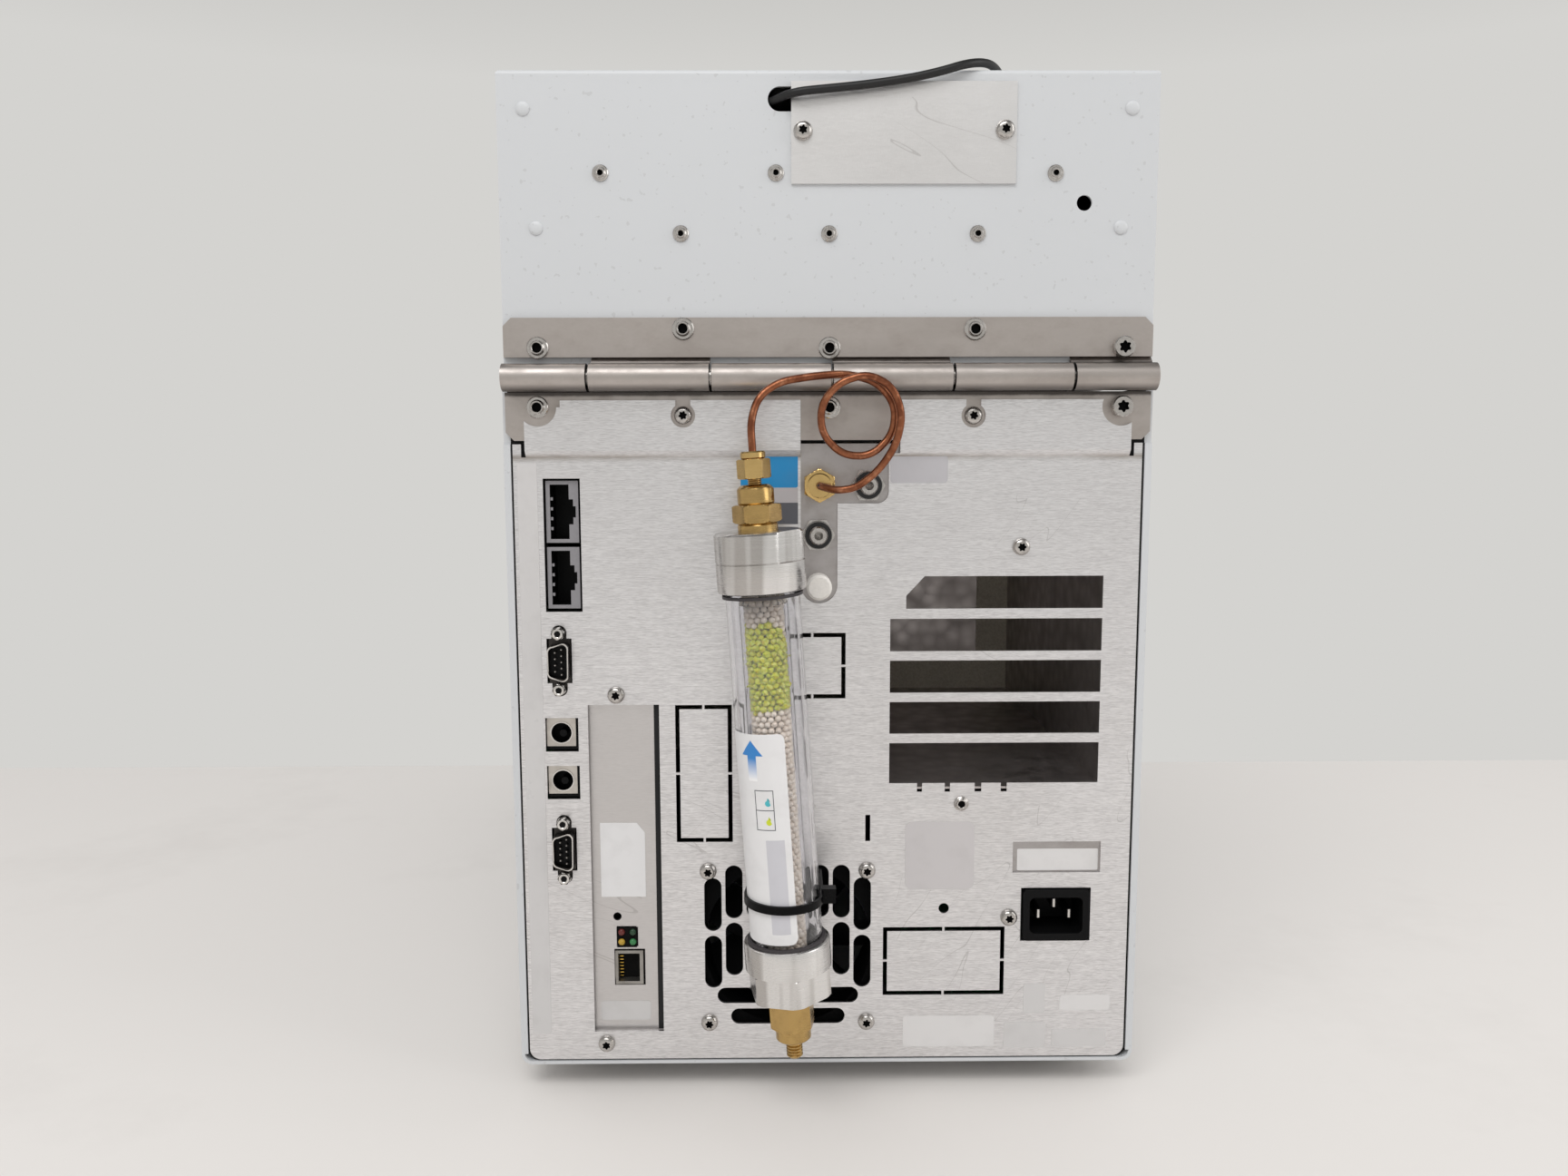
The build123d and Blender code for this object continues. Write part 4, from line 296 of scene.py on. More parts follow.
def fastener_steel(name):
    metal = Finish(name, "c2beba", 0.24, 1.0)
    wear = metal.noise(700.0, 3.0)
    metal.stain(wear, 0.45, 0.7, 0.35, "77716b")
    return metal.roughen(wear, 0.3, 0.7, 0.14, 0.38)


def old_copper(name):
    """Drawn copper tube, browned, with brighter and pinker stretches."""
    metal = Finish(name, "a0674a", 0.30, 1.0)
    stain = metal.noise(130.0, 5.0, rough=0.62)
    metal.stain(stain, 0.38, 0.62, 0.8, "6a3c2b")
    metal.stain(metal.noise(320.0, 3.0), 0.56, 0.75, 0.6, "c78d6c")
    metal.roughen(stain, 0.3, 0.7, 0.22, 0.46)
    return metal.bump(metal.noise(900.0, 2.0), 0.1)


def moulded(name, colour, rough=0.45, shine=0.45, grain=1400.0, depth=0.14):
    """Moulded plastic with a spark-eroded grain."""
    plastic = Finish(name, colour, rough, specular_ior_level=shine)
    texture = plastic.noise(grain, 2.0)
    plastic.roughen(plastic.noise(30.0, 3.0), 0.3, 0.7, rough - 0.06, rough + 0.1)
    plastic.stain(texture, 0.3, 0.7, 0.08, "202020")
    return plastic.bump(texture, depth)


def sheet_zinc(name, colour, dark):
    """Zinc-plated sheet with a soft spangle."""
    sheet = Finish(name, colour, 0.42, 1.0)
    cells = sheet.add("ShaderNodeTexVoronoi", {"feature": "F1"}, {"Vector": sheet.place(), "Scale": 120.0})
    sheet.stain(cells, 0.1, 0.9, 0.55, dark)
    return sheet.roughen(cells, 0.0, 1.0, 0.34, 0.55)


def clear_acrylic(name):
    tube = Finish(name, "f8f8fa", 0.03, transmission_weight=1.0, ior=1.47)
    film = tube.noise(40.0, 4.0, (1, 1, 0.3))
    return tube.roughen(film, 0.5, 0.8, 0.02, 0.12).lit_through()


def molecular_sieve(name):
    """Cream ceramic beads, each a slightly different shade."""
    bead = Finish(name, "f6eada", 0.62)
    each = bead.add("ShaderNodeNewGeometry", output="Random Per Island")
    bead.tint(each * 0.55, "dcc8b2")
    bead.tint((each > 0.86) * 0.6, "f1e7da")
    return bead.bump(bead.noise(2600.0, 2.0), 0.2)


def indicator_gel(name):
    """Yellow-green moisture indicator granules."""
    gel = Finish(name, "cdd02a", 0.16, subsurface_weight=0.35, subsurface_scale=0.002)
    each = gel.add("ShaderNodeNewGeometry", output="Random Per Island")
    gel.tint(each * 0.7, "b4b822")
    gel.tint((each > 0.7) * 0.55, "dfe470")
    return gel.bump(gel.noise(900.0, 3.0), 0.3, 0.0003)


def printed_film(name, colour, rough=0.38, worn=0.12):
    """Polyester label stock, slightly soiled."""
    film = Finish(name, colour, rough)
    soil = film.noise(85.0, 5.0, rough=0.6)
    film.stain(soil, 0.5, 0.8, worn, "77726c")
    film.roughen(soil, 0.3, 0.7, rough - 0.08, rough + 0.1)
    return film.bump(film.noise(400.0, 2.0), 0.06)


def arrow_print(name):
    """Blue print that fades to white down its shaft."""
    film = Finish(name, "2f7fc4", 0.36)
    height = film.along("Z")
    low, high = ((TRAP @ Vector((0, 0, s * MM))).z for s in (ARROW[1], ARROW[1] + 9.0))
    return film.put(base_color=film.mix(film.between(height, low, high), shade("efeeee"), film.colour))


def fibre_board(name):
    """Pressed mineral fibre with loose strands."""
    wool = Finish(name, "d8d2c3", 0.95)
    strands = wool.noise(1.0, 4.0, (900, 250, 900), rough=0.7)
    wool.stain(strands, 0.4, 0.7, 0.5, "a49b86")
    return wool.bump(strands, 0.6, 0.0008)


def circuit_board(name):
    """Green solder mask over copper tracks."""
    board = Finish(name, "1f5a38", 0.3, coat_weight=0.4)
    tracks = board.add("ShaderNodeTexVoronoi", {"feature": "DISTANCE_TO_EDGE", "distance": "MANHATTAN"},
                       {"Vector": board.place(), "Scale": 130.0})
    line = tracks < 0.045
    board.tint(line * 0.7, "4e9a63")
    return board.bump(line, 0.3, 0.0002)


def heated_steel(name):
    """Oven lining: bright steel with straw-coloured heat tint."""
    sheet = Finish(name, "b9b4ab", 0.3, 1.0)
    heat = sheet.noise(7.0, 4.0)
    sheet.stain(heat, 0.4, 0.7, 0.7, "a58b62")
    return sheet.bump(sheet.noise(1.0, 2.0, (900, 900, 60)), 0.15)


def lamp_cap(name, colour):
    cap = Finish(name, colour, 0.2, transmission_weight=0.2)
    haze = cap.noise(1500.0, 2.0)
    return cap.roughen(haze, 0.3, 0.7, 0.14, 0.3)


def bench_top(name, colour):
    bench = Finish(name, colour, 0.5)
    marks = bench.noise(3.0, 6.0, rough=0.7)
    bench.stain(marks, 0.55, 0.8, 0.12, "8d867f")
    bench.roughen(marks, 0.3, 0.7, 0.42, 0.62)
    return bench.bump(bench.noise(350.0, 3.0), 0.04, 0.0002)


FINISHES = {
    powder_coat: {"paint": ["white_powder_coat"]},
    brushed_steel: {
        "panel": ["brushed_panel", 0.36, 0.12, 0.42, "8f8c8c", rear(0, 276.3).z],
        "plate": ["brushed_plate", "ebeaea", 0.38, 0.08, 0.15],
        "card": ["card_plate", "d3d0cf", 0.42, 0.05, 0.08, "8f8b88"],
    },
    hinge_steel: {"hinge": ["satin_hinge_steel", "b9b2ad"]},
    satin_steel: {
        "bracket": ["bracket_steel", "b3afae", 0.42],
        "port": ["port_shell_steel", "4b4846", 0.4, "2c2a29"],
        "socket_face": ["socket_face_steel", "c9c4bd", 0.34],
    },
    turned_metal: {
        "pin": ["hinge_pin_steel", "b8b3ae", "6f6963"],
        "turned": ["turned_steel", "c4c1bd", "8a857f", 0.26],
        "brass": ["aged_brass", "c0a067", "7d6542", 0.2, 0.35],
        "bright_brass": ["bright_brass", "d3b376", "9c7f50", 0.16, 0.3],
        "bright": ["bright_steel", "d8d5d1", "a39d97", 0.2, 0.3],
        "column": ["fused_silica_column", "b9803c", "7a4d1f", 0.35],
        "heater": ["heater_wire", "8c7a6b", "4e4038", 0.5],
        "gold": ["gold_contacts", "d9b45a", "a98436", 0.2],
    },
    turned_aluminium: {"aluminium": ["turned_aluminium"]},
    fastener_steel: {"fastener": ["fastener_steel"]},
    old_copper: {"copper": ["aged_copper"]},
    moulded: {
        "washer": ["washer_nylon", "19191a", 0.35],
        "rubber": ["black_rubber", "131314", 0.7, 0.45, 800.0, 0.3],
        "seal": ["seal_rubber", "3b3739", 0.5, 0.45, 800.0, 0.1],
        "black": ["black_plastic", "0b0b0c", 0.45, 0.12],
        "tie": ["cable_tie_nylon", "060607", 0.25, 0.1, 300.0, 0.05],
        "fan": ["fan_plastic", "050506", 0.75, 0.08],
        # Painted shade for screw recesses and stud holes.
        "bore": ["dark_bore", "0b0a0a", 0.7, 0.1],
        "throat": ["socket_throat", "0c0b0b", 0.7, 0.1],
        "jack_face": ["jack_face_plastic", "8b898c", 0.4, 0.45, 900.0],
        # Painted shade: the chassis frame, seen only in gaps and through openings, is made near black for the
        # shade there.
        "frame_shade": ["dark_plated_sheet", "131314", 0.5, 0.12, 500.0],
        "cable": ["cable_jacket", 0.46, 0.45, 500.0],
        "bezel": ["bezel_plastic", 0.5],
        "dark_plastic": ["slate_plastic", "4a5058", 0.46],
        "button": ["button_plastic", "8d949b", 0.4],
        "white_cap": ["white_cap", "e8e4de", 0.45, 0.45, 900.0],
        # Painted shade of the trap's inner filling.
        "core": ["shaded_filling", "5d4f43", 0.8, 0.1],
    },
    sheet_zinc: {
        "duct": ["duct_sheet", "c9c3c1", "a39c9a"],
        "shroud": ["aluminised_sheet", "a9a6a1", "77736d"],
    },
    heated_steel: {"oven": ["oven_lining"]},
    fibre_board: {"fibre": ["mineral_fibre"]},
    circuit_board: {"board": ["circuit_board"]},
    clear_acrylic: {"acrylic": ["clear_tube"]},
    molecular_sieve: {"beads": ["sieve_beads"]},
    indicator_gel: {"gel": ["indicator_granules"]},
    arrow_print: {"arrow": ["arrow_print"]},
    printed_film: {
        "white_film": ["white_label"],
        "blue_film": ["blue_label", 0.34],
        "grey_strip": ["grey_strip", "c6c5ca", 0.4],
        "symbol_film": ["symbol_plate", "c3bfbf", 0.4],
        "grey_film": ["grey_label", "b7b5b8"],
        "pale_film": ["pale_label", "d6d4d3"],
        "silver_film": ["silver_label", "c9c7c6", 0.34],
        "light_film": ["light_grey_label", "b3afb1", 0.34],
        "dark_film": ["dark_grey_label", "54555b", 0.34],
        "yellow_film": ["yellow_key", "c9d42e"],
        "teal_film": ["teal_key", "45b3bd"],
        "ink": ["dark_ink", "3a3f46"],
    },
    lamp_cap: {
        "lamp_yellow": ["yellow_lamp", "c9a43a"],
        "lamp_green": ["green_lamp", "3d8a52"],
        "lamp_red": ["red_lamp", "6d2a26"],
        "lamp_dark_green": ["unlit_green_lamp", "25462f"],
    },
    bench_top: {"bench": ["bench_top"]},
}
MADE = {}


def finish(key):
    """Material of a finish, made once; its colour is the add-on's where that has one for it."""
    if key not in MADE:
        maker, (name, *terms) = next((maker, rows[key]) for maker, rows in FINISHES.items() if key in rows)
        if key in PieceColours.__annotations__:
            terms.insert(0, getattr(bpy.context.scene.chromatograph_colours, key))
        MADE[key] = maker(name, *terms).material
    return MADE[key]


NODE_FINISHES = {
    "paint": ["case_shell", "lid_shell"],
    "panel": ["rear_panel"],
    "plate": ["cover_plate"],
    "card": ["network_card"],
    "hinge": ["hinge_lower_leaf", "hinge_upper_leaf"],
    "pin": ["hinge_pin"],
    "bracket": ["gas_bracket"],
    "fastener": ["rear_fixings", "lid_fixings", "gas_bulkheads", "column_basket"],
    "port": ["serial_ports"],
    "aluminium": ["trap_bottom_cap", "trap_top_cap", "gas_manifold"],
    "brass": ["trap_bottom_fitting", "trap_top_fitting"],
    "bright_brass": ["tube_nuts"],
    "copper": ["copper_tube"],
    "rubber": ["feet", "cable_grommets"],
    "seal": ["trap_seals"],
    "black": ["signal_sockets", "mains_inlet", "power_switch"],
    "tie": ["cable_tie"],
    "fan": ["fan_housing", "fan_rotor"],
    "cable": ["signal_cable"],
    "bezel": ["front_bezel", "lid_bezel", "top_cover"],
    "dark_plastic": ["control_panel", "lid_latch"],
    "button": ["start_button", "stop_button", "prep_button"],
    "white_cap": ["gas_port_cap"],
    # Chassis frame in painted shade.
    "frame_shade": ["chassis_frame"],
    "duct": ["exhaust_duct", "exhaust_flap"],
    "shroud": ["oven_shroud", "network_jack", "oven_fan_motor", "oven_fan"],
    "oven": ["oven_liner", "lid_pan"],
    "fibre": ["oven_insulation", "lid_insulation"],
    "board": ["main_board", "power_board"],
    "acrylic": ["trap_tube"],
    "beads": ["trap_beads"],
    "column": ["column_coil"],
    "heater": ["heater_coil"],
    "turned": ["inlet_body", "detector_body"],
}


# ---- making pieces ----
BEVEL = [(0.0, 0.0), (0.35, 0.2), (0.7, 0.55), (1.0, 1.0)]
NO_SECOND = 10**6
CENTRE = 0.001
BACKWARDS = Matrix.Rotation(math.radians(-90), 4, "X")


def piece(name, work, key, body="base", bend=35.0, second=None):
    """Object with its finishes on a CAD body, smooth except over edges sharper than the bend."""
    mesh = bpy.data.meshes.new(name)
    bmesh.ops.recalc_face_normals(work, faces=work.faces)
    work.to_mesh(mesh)
    work.free()
    mesh.polygons.foreach_set("use_smooth", [True] * len(mesh.polygons))
    mesh.set_sharp_from_angle(angle=math.radians(bend))
    mesh.materials.append(finish(key))
    if second:
        mesh.materials.append(finish(second))
    made = bpy.data.objects.new(name, mesh)
    bpy.context.scene.collection.objects.link(made)
    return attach(made, body)


def skin(work, rings, close=True, second_from=NO_SECOND):
    """Quads between rings of points, with both ends filled; from one ring on they get the second finish."""
    made = [[work.verts.new(p) for p in ring] for ring in rings]
    for number, (one, two) in enumerate(zip(made, made[1:])):
        for i in range(len(one)):
            j = (i + 1) % len(one)
            face = work.faces.new((one[i], one[j], two[j], two[i]))
            face.material_index = int(number >= second_from)
    if close:
        work.faces.new(made[0])
        work.faces.new(made[-1]).material_index = int(len(rings) > second_from)


def arc(u, v, radius, start=0.0, sweep=360.0, steps=48):
    """Points along a circle's arc, in degrees; a full turn doesn't repeat its first point."""
    last = steps if sweep == 360.0 else steps - 1
    angles = [math.radians(start + sweep * i / last) for i in range(steps)]
    return [(u + radius * math.cos(a), v + radius * math.sin(a)) for a in angles]


def circle(radius, height, steps=48, star=0.0, flats=()):
    """Ring of points about Z, in mm, waved into six lobes or cut by flats, given as (degrees, distance)."""
    ring = []
    for i in range(steps):
        a = 2 * math.pi * i / steps
        r = radius * (1 + star * math.cos(6 * a))
        for side, distance in flats:
            lean = math.cos(a - math.radians(side))
            if lean * r > distance:
                r = distance / lean
        ring.append(Vector((r * math.cos(a), r * math.sin(a), height)) * MM)
    return ring


def hexagon(work, place, across, low, high, turn=0.0):
    """Hexagon nut with turned bevels on its corners; its first flat faces 30 degrees on from the turn."""
    flats = [(turn + 30 + 60 * i, across / 2) for i in range(6)]
    edge = across / 2 * 0.985
    reach = across / math.sqrt(3) - edge
    rings = [(edge + reach * share, reach * 0.5 * back) for share, back in BEVEL]
    rings = [(r, low + h) for r, h in rings] + [(r, high - h) for r, h in reversed(rings)]
    skin(work, [[place @ p for p in circle(r, h, 144, flats=flats)] for r, h in rings])


def lathe(work, profile, place=Matrix(), steps=48, second_from=NO_SECOND):
    """Solid of revolution about Z from a closed (radius, height) outline, in mm."""
    rings = [[place @ p for p in circle(r, h, steps)] for r, h in profile]
    skin(work, rings + rings[:1], close=False, second_from=second_from)
    bmesh.ops.remove_doubles(work, verts=work.verts, dist=1e-7)


def plug(work, place, profile, steps=48):
    """Solid turned body, whose outline runs to the axis at both ends."""
    lathe(work, [(CENTRE, profile[0][1]), *profile, (CENTRE, profile[-1][1])], place, steps)


def rounded(u, v, radius=1.0):
    """Outline of a rectangle with rounded corners, in mm."""
    left, right, low, high = u[0] + radius, u[1] - radius, v[0] + radius, v[1] - radius
    centres = [(right, high), (left, high), (left, low), (right, low)]
    return [p for i, (cu, cv) in enumerate(centres) for p in arc(cu, cv, radius, 90 * i, 90, 6)]


def turned(name, key, profile, places, steps=48):
    """Piece of equal turned solids at some places."""
    work = bmesh.new()
    for place in places:
        lathe(work, profile, place, steps)
    return piece(name, work, key)


def slab(work, outline, low, high):
    """Flat piece by the rear panel between two distances out of it."""
    skin(work, [[rear(u, v, out) for u, v in outline] for out in (low, high)])


def corners(u, v):
    return [(u[0], v[0]), (u[1], v[0]), (u[1], v[1]), (u[0], v[1])]


def bars(name, key, boxes):
    """Piece of boxes by the rear panel, given as (across, up, from, to)."""
    work = bmesh.new()
    for u, v, low, high in boxes:
        slab(work, corners(u, v), low, high)
    piece(name, work, key)


def towards_back(u, v, out=0.0):
    """Place at the rear whose +Z points out of the panel."""
    return Matrix.Translation(rear(u, v, out)) @ BACKWARDS


def round_axis(radius, angle, s):
    """Point about the trap's axis, the angle taken to the right from the front."""
    return Vector((-radius * math.sin(angle), radius * math.cos(angle), s))


def wrap(work, outline, radius, thick):
    """Thin film bent round the trap's tube: outline in mm along the arc, rightwards, and up the axis."""
    flat = bmesh.new()
    skin(flat, [[Vector((x, out, z)) for x, z in outline] for out in (0.0, thick)])
    reach = int(max(abs(x) for x, _ in outline))
    for step in range(-reach, reach + 1):
        every = flat.verts[:] + flat.edges[:] + flat.faces[:]
        bmesh.ops.bisect_plane(flat, geom=every, plane_co=(step, 0, 0), plane_no=(1, 0, 0))
    for vert in flat.verts:
        x, out, z = vert.co
        vert.co = TRAP @ (round_axis(radius + out, x / radius, z) * MM)
    carrier = bpy.data.meshes.new("carrier")
    flat.to_mesh(carrier)
    flat.free()
    work.from_mesh(carrier)
    bpy.data.meshes.remove(carrier)


def solids(node):
    """(lowest corner, highest corner) of each separate solid of a CAD node."""
    work = bmesh.new()
    work.from_mesh(NODES[node].data)
    bmesh.ops.remove_doubles(work, verts=work.verts, dist=1e-6)
    work.verts.ensure_lookup_table()
    seen, boxes = set(), []
    for first in work.verts:
        if first.index in seen:
            continue
        seen.add(first.index)
        group = [first]
        for vert in group:
            for edge in vert.link_edges:
                other = edge.other_vert(vert)
                if other.index not in seen:
                    seen.add(other.index)
                    group.append(other)
        low = Vector([min(v.co[i] for v in group) for i in range(3)])
        high = Vector([max(v.co[i] for v in group) for i in range(3)])
        boxes.append((low, high))
    work.free()
    return boxes


def axis_point(s):
    return Matrix.Translation(Vector((0, 0, s * MM)))


# ---- fixings ----
STAR = 0.17
DOME = [(1.0, 0.0), (1.0, 0.34), (0.93, 0.62), (0.78, 0.85), (0.6, 1.0)]
RIVET_HEAD = [(CENTRE, 0), (2.95, 0), (2.9, 0.35), (2.4, 0.72), (1.4, 0.95), (CENTRE, 1.0)]


def screw_head(work, place, radius, tall, recess, depth, domed=True):
    """Screw head with a six-lobed recess in painted shade, its seat at the place and its axis along +Z."""
    if domed:
        rings = [circle(radius * r, tall * h) for r, h in DOME]
    else:
        rings = [circle(radius, 0), circle(radius, tall - 0.5), circle(radius - 0.45, tall)]
    rings += [circle(recess * 1.08, tall, star=STAR), circle(recess, tall - 0.2, star=STAR),
              circle(recess * 0.94, tall - depth, star=STAR), circle(0.3 * recess, tall - depth - 0.2)]
    skin(work, [[place @ p for p in ring] for ring in rings], second_from=len(rings) - 4)


def tubular_stud(work, place, flange, tube, hole, tall):
    """Clinched stud: flange, rounded collar and its threaded hole in painted shade."""
    outside = [(CENTRE, 0.1), (flange, 0), (flange, 0.55), (flange - 0.4, 0.9), (tube + 0.35, 0.95), (tube, 1.25),
               (tube, tall - 0.3), (tube - 0.3, tall), (hole + 0.2, tall)]
    inside = [(hole, tall - 0.2), (hole - 0.1, 0.25), (CENTRE, 0.2)]
    lathe(work, outside + inside, place, second_from=len(outside))


def dress_fixings(node, body, name):
    """Detailed heads in the places and sizes of a CAD node's fixings."""
    work = bmesh.new()
    rivets = bmesh.new()
    for low, high in solids(node):
        span = (high - low) / MM
        centre = (low + high) / 2
        radius, tall = span.x / 2, span.y
        seat = Matrix.Translation((centre.x, low.y, centre.z)) @ BACKWARDS
        if radius < 3.2:
            lathe(rivets, RIVET_HEAD, seat)
            continue
        place = seat @ Matrix.Rotation(centre.x * 37.0, 4, "Z")
        if 3.7 < radius < 4.1:
            head = 0.66 * radius
            place = place @ axis_point(tall - head)
            screw_head(work, place, radius, head, 1.5, 1.5)
        elif tall > 4.0:
            screw_head(work, place, radius, tall, 2.1, 2.4, domed=False)
        elif radius > 4.2:
            tubular_stud(work, place, radius, 2.9, 2.0, tall)
        else:
            tubular_stud(work, place, radius, 2.1, 1.15, tall)
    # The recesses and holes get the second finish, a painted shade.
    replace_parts(piece(name, work, "fastener", body, second="bore"), node)
    if rivets.verts:
        piece(name + "_painted_rivets", rivets, "paint", body)
    else:
        rivets.free()


# ---- moisture trap ----
CAP_RADIUS = 18.4
LOW_CAP = (29.1, 53.7)
HIGH_CAP = (203.0, 227.6)
CAP_EDGES = (LOW_CAP[1], HIGH_CAP[0])
NUT_SPAN = (248.9, 260.0)
COPPER_PORT = (-4.0, 264.1)
SOCKET = 6.0
LABEL = ((-29.0, 5.0), (56.5, 146.0))
ARROW = ((-9.6, 143.4), 126.4)
KEY_BOX = ((-9.2, -1.1), (105.8, 122.7))
PLAIN_STRIP = ((-5.6, 2.2), (61.2, 101.6))


def trap_glass(sizes):
    """Clear shield with the glass cartridge inside it."""
    low, high = CAP_EDGES[0] - SOCKET, CAP_EDGES[1] + SOCKET
    bore = TRAP_TUBE - sizes.shield_wall / MM
    wall = [(bore, low), (TRAP_TUBE, low), (TRAP_TUBE, high), (bore, high)]
    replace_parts(turned("trap_shield", "acrylic", wall, [TRAP], 160), "trap_tube")
    outer = sizes.glass_radius / MM
    inner = outer - sizes.glass_wall / MM
    shoulder = CAP_EDGES[1]
    profile = [(inner, low), (outer, low), (outer, shoulder - 5)]
    for i in range(1, 7):
        a = math.radians(15 * i)
        profile.append((outer - 4.5 * (1 - math.cos(a)), shoulder - 5 + 4.5 * math.sin(a)))
    profile += [(5.6, high), (4.4, high), (4.4, shoulder - 0.5), (inner, shoulder - 5.5)]
    turned("trap_glass_cartridge", "acrylic", profile, [TRAP], 128)


def trap_cap(name, node, span, flats):
    """Turned end cap from its open end: a round skirt, a fine split line and a body with wrench flats."""
    open_end, closed_end = span
    towards = math.copysign(1, closed_end - open_end)
    middle = (open_end + closed_end) / 2
    bore = TRAP_TUBE + 0.05
    outline = [(CAP_RADIUS + r, start + h * towards, cut) for r, start, h, cut in (
        (-1.0, open_end, 0.0, ()), (-0.3, open_end, 0.3, ()), (0.0, open_end, 1.0, ()),
        (0.0, middle, -0.3, ()), (-0.35, middle, -0.1, ()), (-0.35, middle, 0.1, flats),
        (0.0, middle, 0.3, flats), (0.0, closed_end, -0.9, flats), (-0.7, closed_end, -0.2, flats),
        (-1.1, closed_end, 0.0, flats))]
    deep = open_end + SOCKET * towards
    outline += [(4.0, closed_end, ()), (4.0, deep, ()), (bore, deep, ()), (bore, open_end, ())]
    rings = [[TRAP @ p for p in circle(r, h, 180, flats=cut)] for r, h, cut in outline]
    work = bmesh.new()
    skin(work, rings + rings[:1], close=False)
    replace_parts(piece(name, work, "aluminium", bend=24.0), node)


def thread(radius, low, high, pitch, depth):
    """Outline of ridges for a threaded stub, from its lower to its upper end."""
    ridge = [(radius - depth, 0.0), (radius, 0.3), (radius, 0.6), (radius - depth, 0.95)]
    count = int((high - low) / pitch)
    return [(r, low + pitch * (i + h)) for i in range(count) for r, h in ridge] + [(radius - depth, high)]


def trap_fittings():
    """Brass unions at both ends of the trap and the nuts of the copper tube."""
    top = HIGH_CAP[1]
    nut, end = NUT_SPAN
    work = bmesh.new()
    plug(work, TRAP, [(4.0, top - 15), (4.0, top), (8.3, top), (8.3, top + 2.5), (7.8, top + 3.4)], 72)
    hexagon(work, TRAP, 17.5, top + 3.4, top + 11.0)
    plug(work, TRAP, [(7.2, top + 11.0), (7.6, top + 11.6), (7.6, top + 16.8), (7.3, top + 17.6),
                      (6.4, top + 18.5), (5.4, top + 18.9)], 72)
    plug(work, TRAP, thread(2.9, top + 18.9, nut, 0.8, 0.45))
    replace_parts(piece("trap_upper_union", work, "brass", bend=24.0), "trap_top_fitting")
    work = bmesh.new()
    hexagon(work, TRAP, 12.0, nut, end - 3.0)
    plug(work, TRAP, [(4.6, end - 3.0), (5.2, end - 2.6), (5.2, end - 0.6), (4.7, end)])
    port = towards_back(*COPPER_PORT)
    hexagon(work, port, 12.9, -1.2, 6.2, turn=30.0)
    plug(work, port, [(4.9, 6.2), (5.4, 6.6), (5.4, 7.5), (4.9, 8.0)])
    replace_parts(piece("copper_tube_nuts", work, "bright_brass", bend=24.0), "tube_nuts")
    low = LOW_CAP[0]
    work = bmesh.new()
    lathe(work, [(1.6, 0.0), (2.6, 0.0), *thread(3.5, 0.5, 8.6, 1.35, 0.55), (7.0, 8.6), (7.6, 9.2), (7.6, 14.2),
                 (1.6, 14.2)], TRAP, 72)
    hexagon(work, TRAP, 17.4, 14.2, low, turn=20.0)
    plug(work, TRAP, [(4.0, low), (4.0, low + 18.5)])
    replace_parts(piece("trap_lower_union", work, "brass", bend=24.0), "trap_bottom_fitting")


def is_gel(sizes, angle, s):
    """Whether the indicator granules fill this place of the cartridge's skin."""
    top = sizes.gel_top / MM + 3.0 * math.sin(angle + 2.4) + 2.4 * math.sin(3 * angle + 0.6)
    bottom = sizes.gel_bottom / MM + 0.9 * math.sin(2 * angle)
    return bottom < s < top


def grains(name, key, spots, template, bend):
    """One mesh of many copies of a small round shape, given as (centre, size, roughness) in mm along the trap."""
    draw = random.Random(SEED + len(spots))
    verts, faces = [], []
    ball, sides = template
    for centre, size, uneven in spots:
        first = len(verts)
        faces += [[first + i for i in side] for side in sides]
        spin = Matrix.Rotation(draw.uniform(0, 6.28), 3, (draw.random(), draw.random(), 0.3))
        verts += [TRAP @ ((centre + spin @ p * size * (1 - draw.uniform(0, uneven))) * MM) for p in ball]
    mesh = bpy.data.meshes.new("grains")
    mesh.from_pydata(verts, [], faces)
    work = bmesh.new()
    work.from_mesh(mesh)
    bpy.data.meshes.remove(mesh)
    return piece(name, work, key, bend=bend)


def ball_template(subdivisions):
    work = bmesh.new()
    bmesh.ops.create_icosphere(work, subdivisions=subdivisions, radius=1.0)
    template = [v.co.copy() for v in work.verts], [[v.index for v in f.verts] for f in work.faces]
    work.free()
    return template


def trap_filling(sizes):
    """Sieve beads and indicator granules packed against the cartridge's wall, round a dark cylinder in painted
    shade.
    """
    draw = random.Random(SEED)
    outer = sizes.glass_radius / MM
    inner = outer - sizes.glass_wall / MM
    bead = sizes.bead_radius / MM
    low, high = CAP_EDGES[0] - 4.0, CAP_EDGES[1]
    beads, gel = [], []
    for shell, radius in enumerate((inner - bead - 0.05, inner - 2.6 * bead)):
        around = int(2 * math.pi * radius / (2.02 * bead))
        for row in range(int((high - low) / (1.76 * bead))):
            s = low + 1.76 * bead * row + shell * 0.8
            for k in range(around):
                angle = 2 * math.pi * (k + 0.5 * (row % 2)) / around + draw.uniform(-0.035, 0.035)
                rise = s + draw.uniform(-0.2, 0.2)
                r = radius + draw.uniform(-0.22, 0.04)
                centre = round_axis(r, angle, rise)
                if is_gel(sizes, math.atan2(math.sin(angle), math.cos(angle)), rise):
                    gel.append((centre, draw.uniform(1.15, 1.75) * bead, 0.42))
                else:
                    beads.append((centre, bead * draw.uniform(0.93, 1.02), 0.0))
    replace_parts(grains("sieve_beads", "beads", beads, ball_template(2), 80.0), "trap_beads")
    grains("indicator_granules", "gel", gel, ball_template(1), 12.0)
    # Painted shade: a dark cylinder inside the bead shells stands for the shade among the inner beads.
    core = inner - 3.4 * bead
    column = [(CENTRE, low - 1), (core, low - 1), (core, high), (CENTRE, high)]
    turned("filling_core", "core", column, [TRAP], 32)


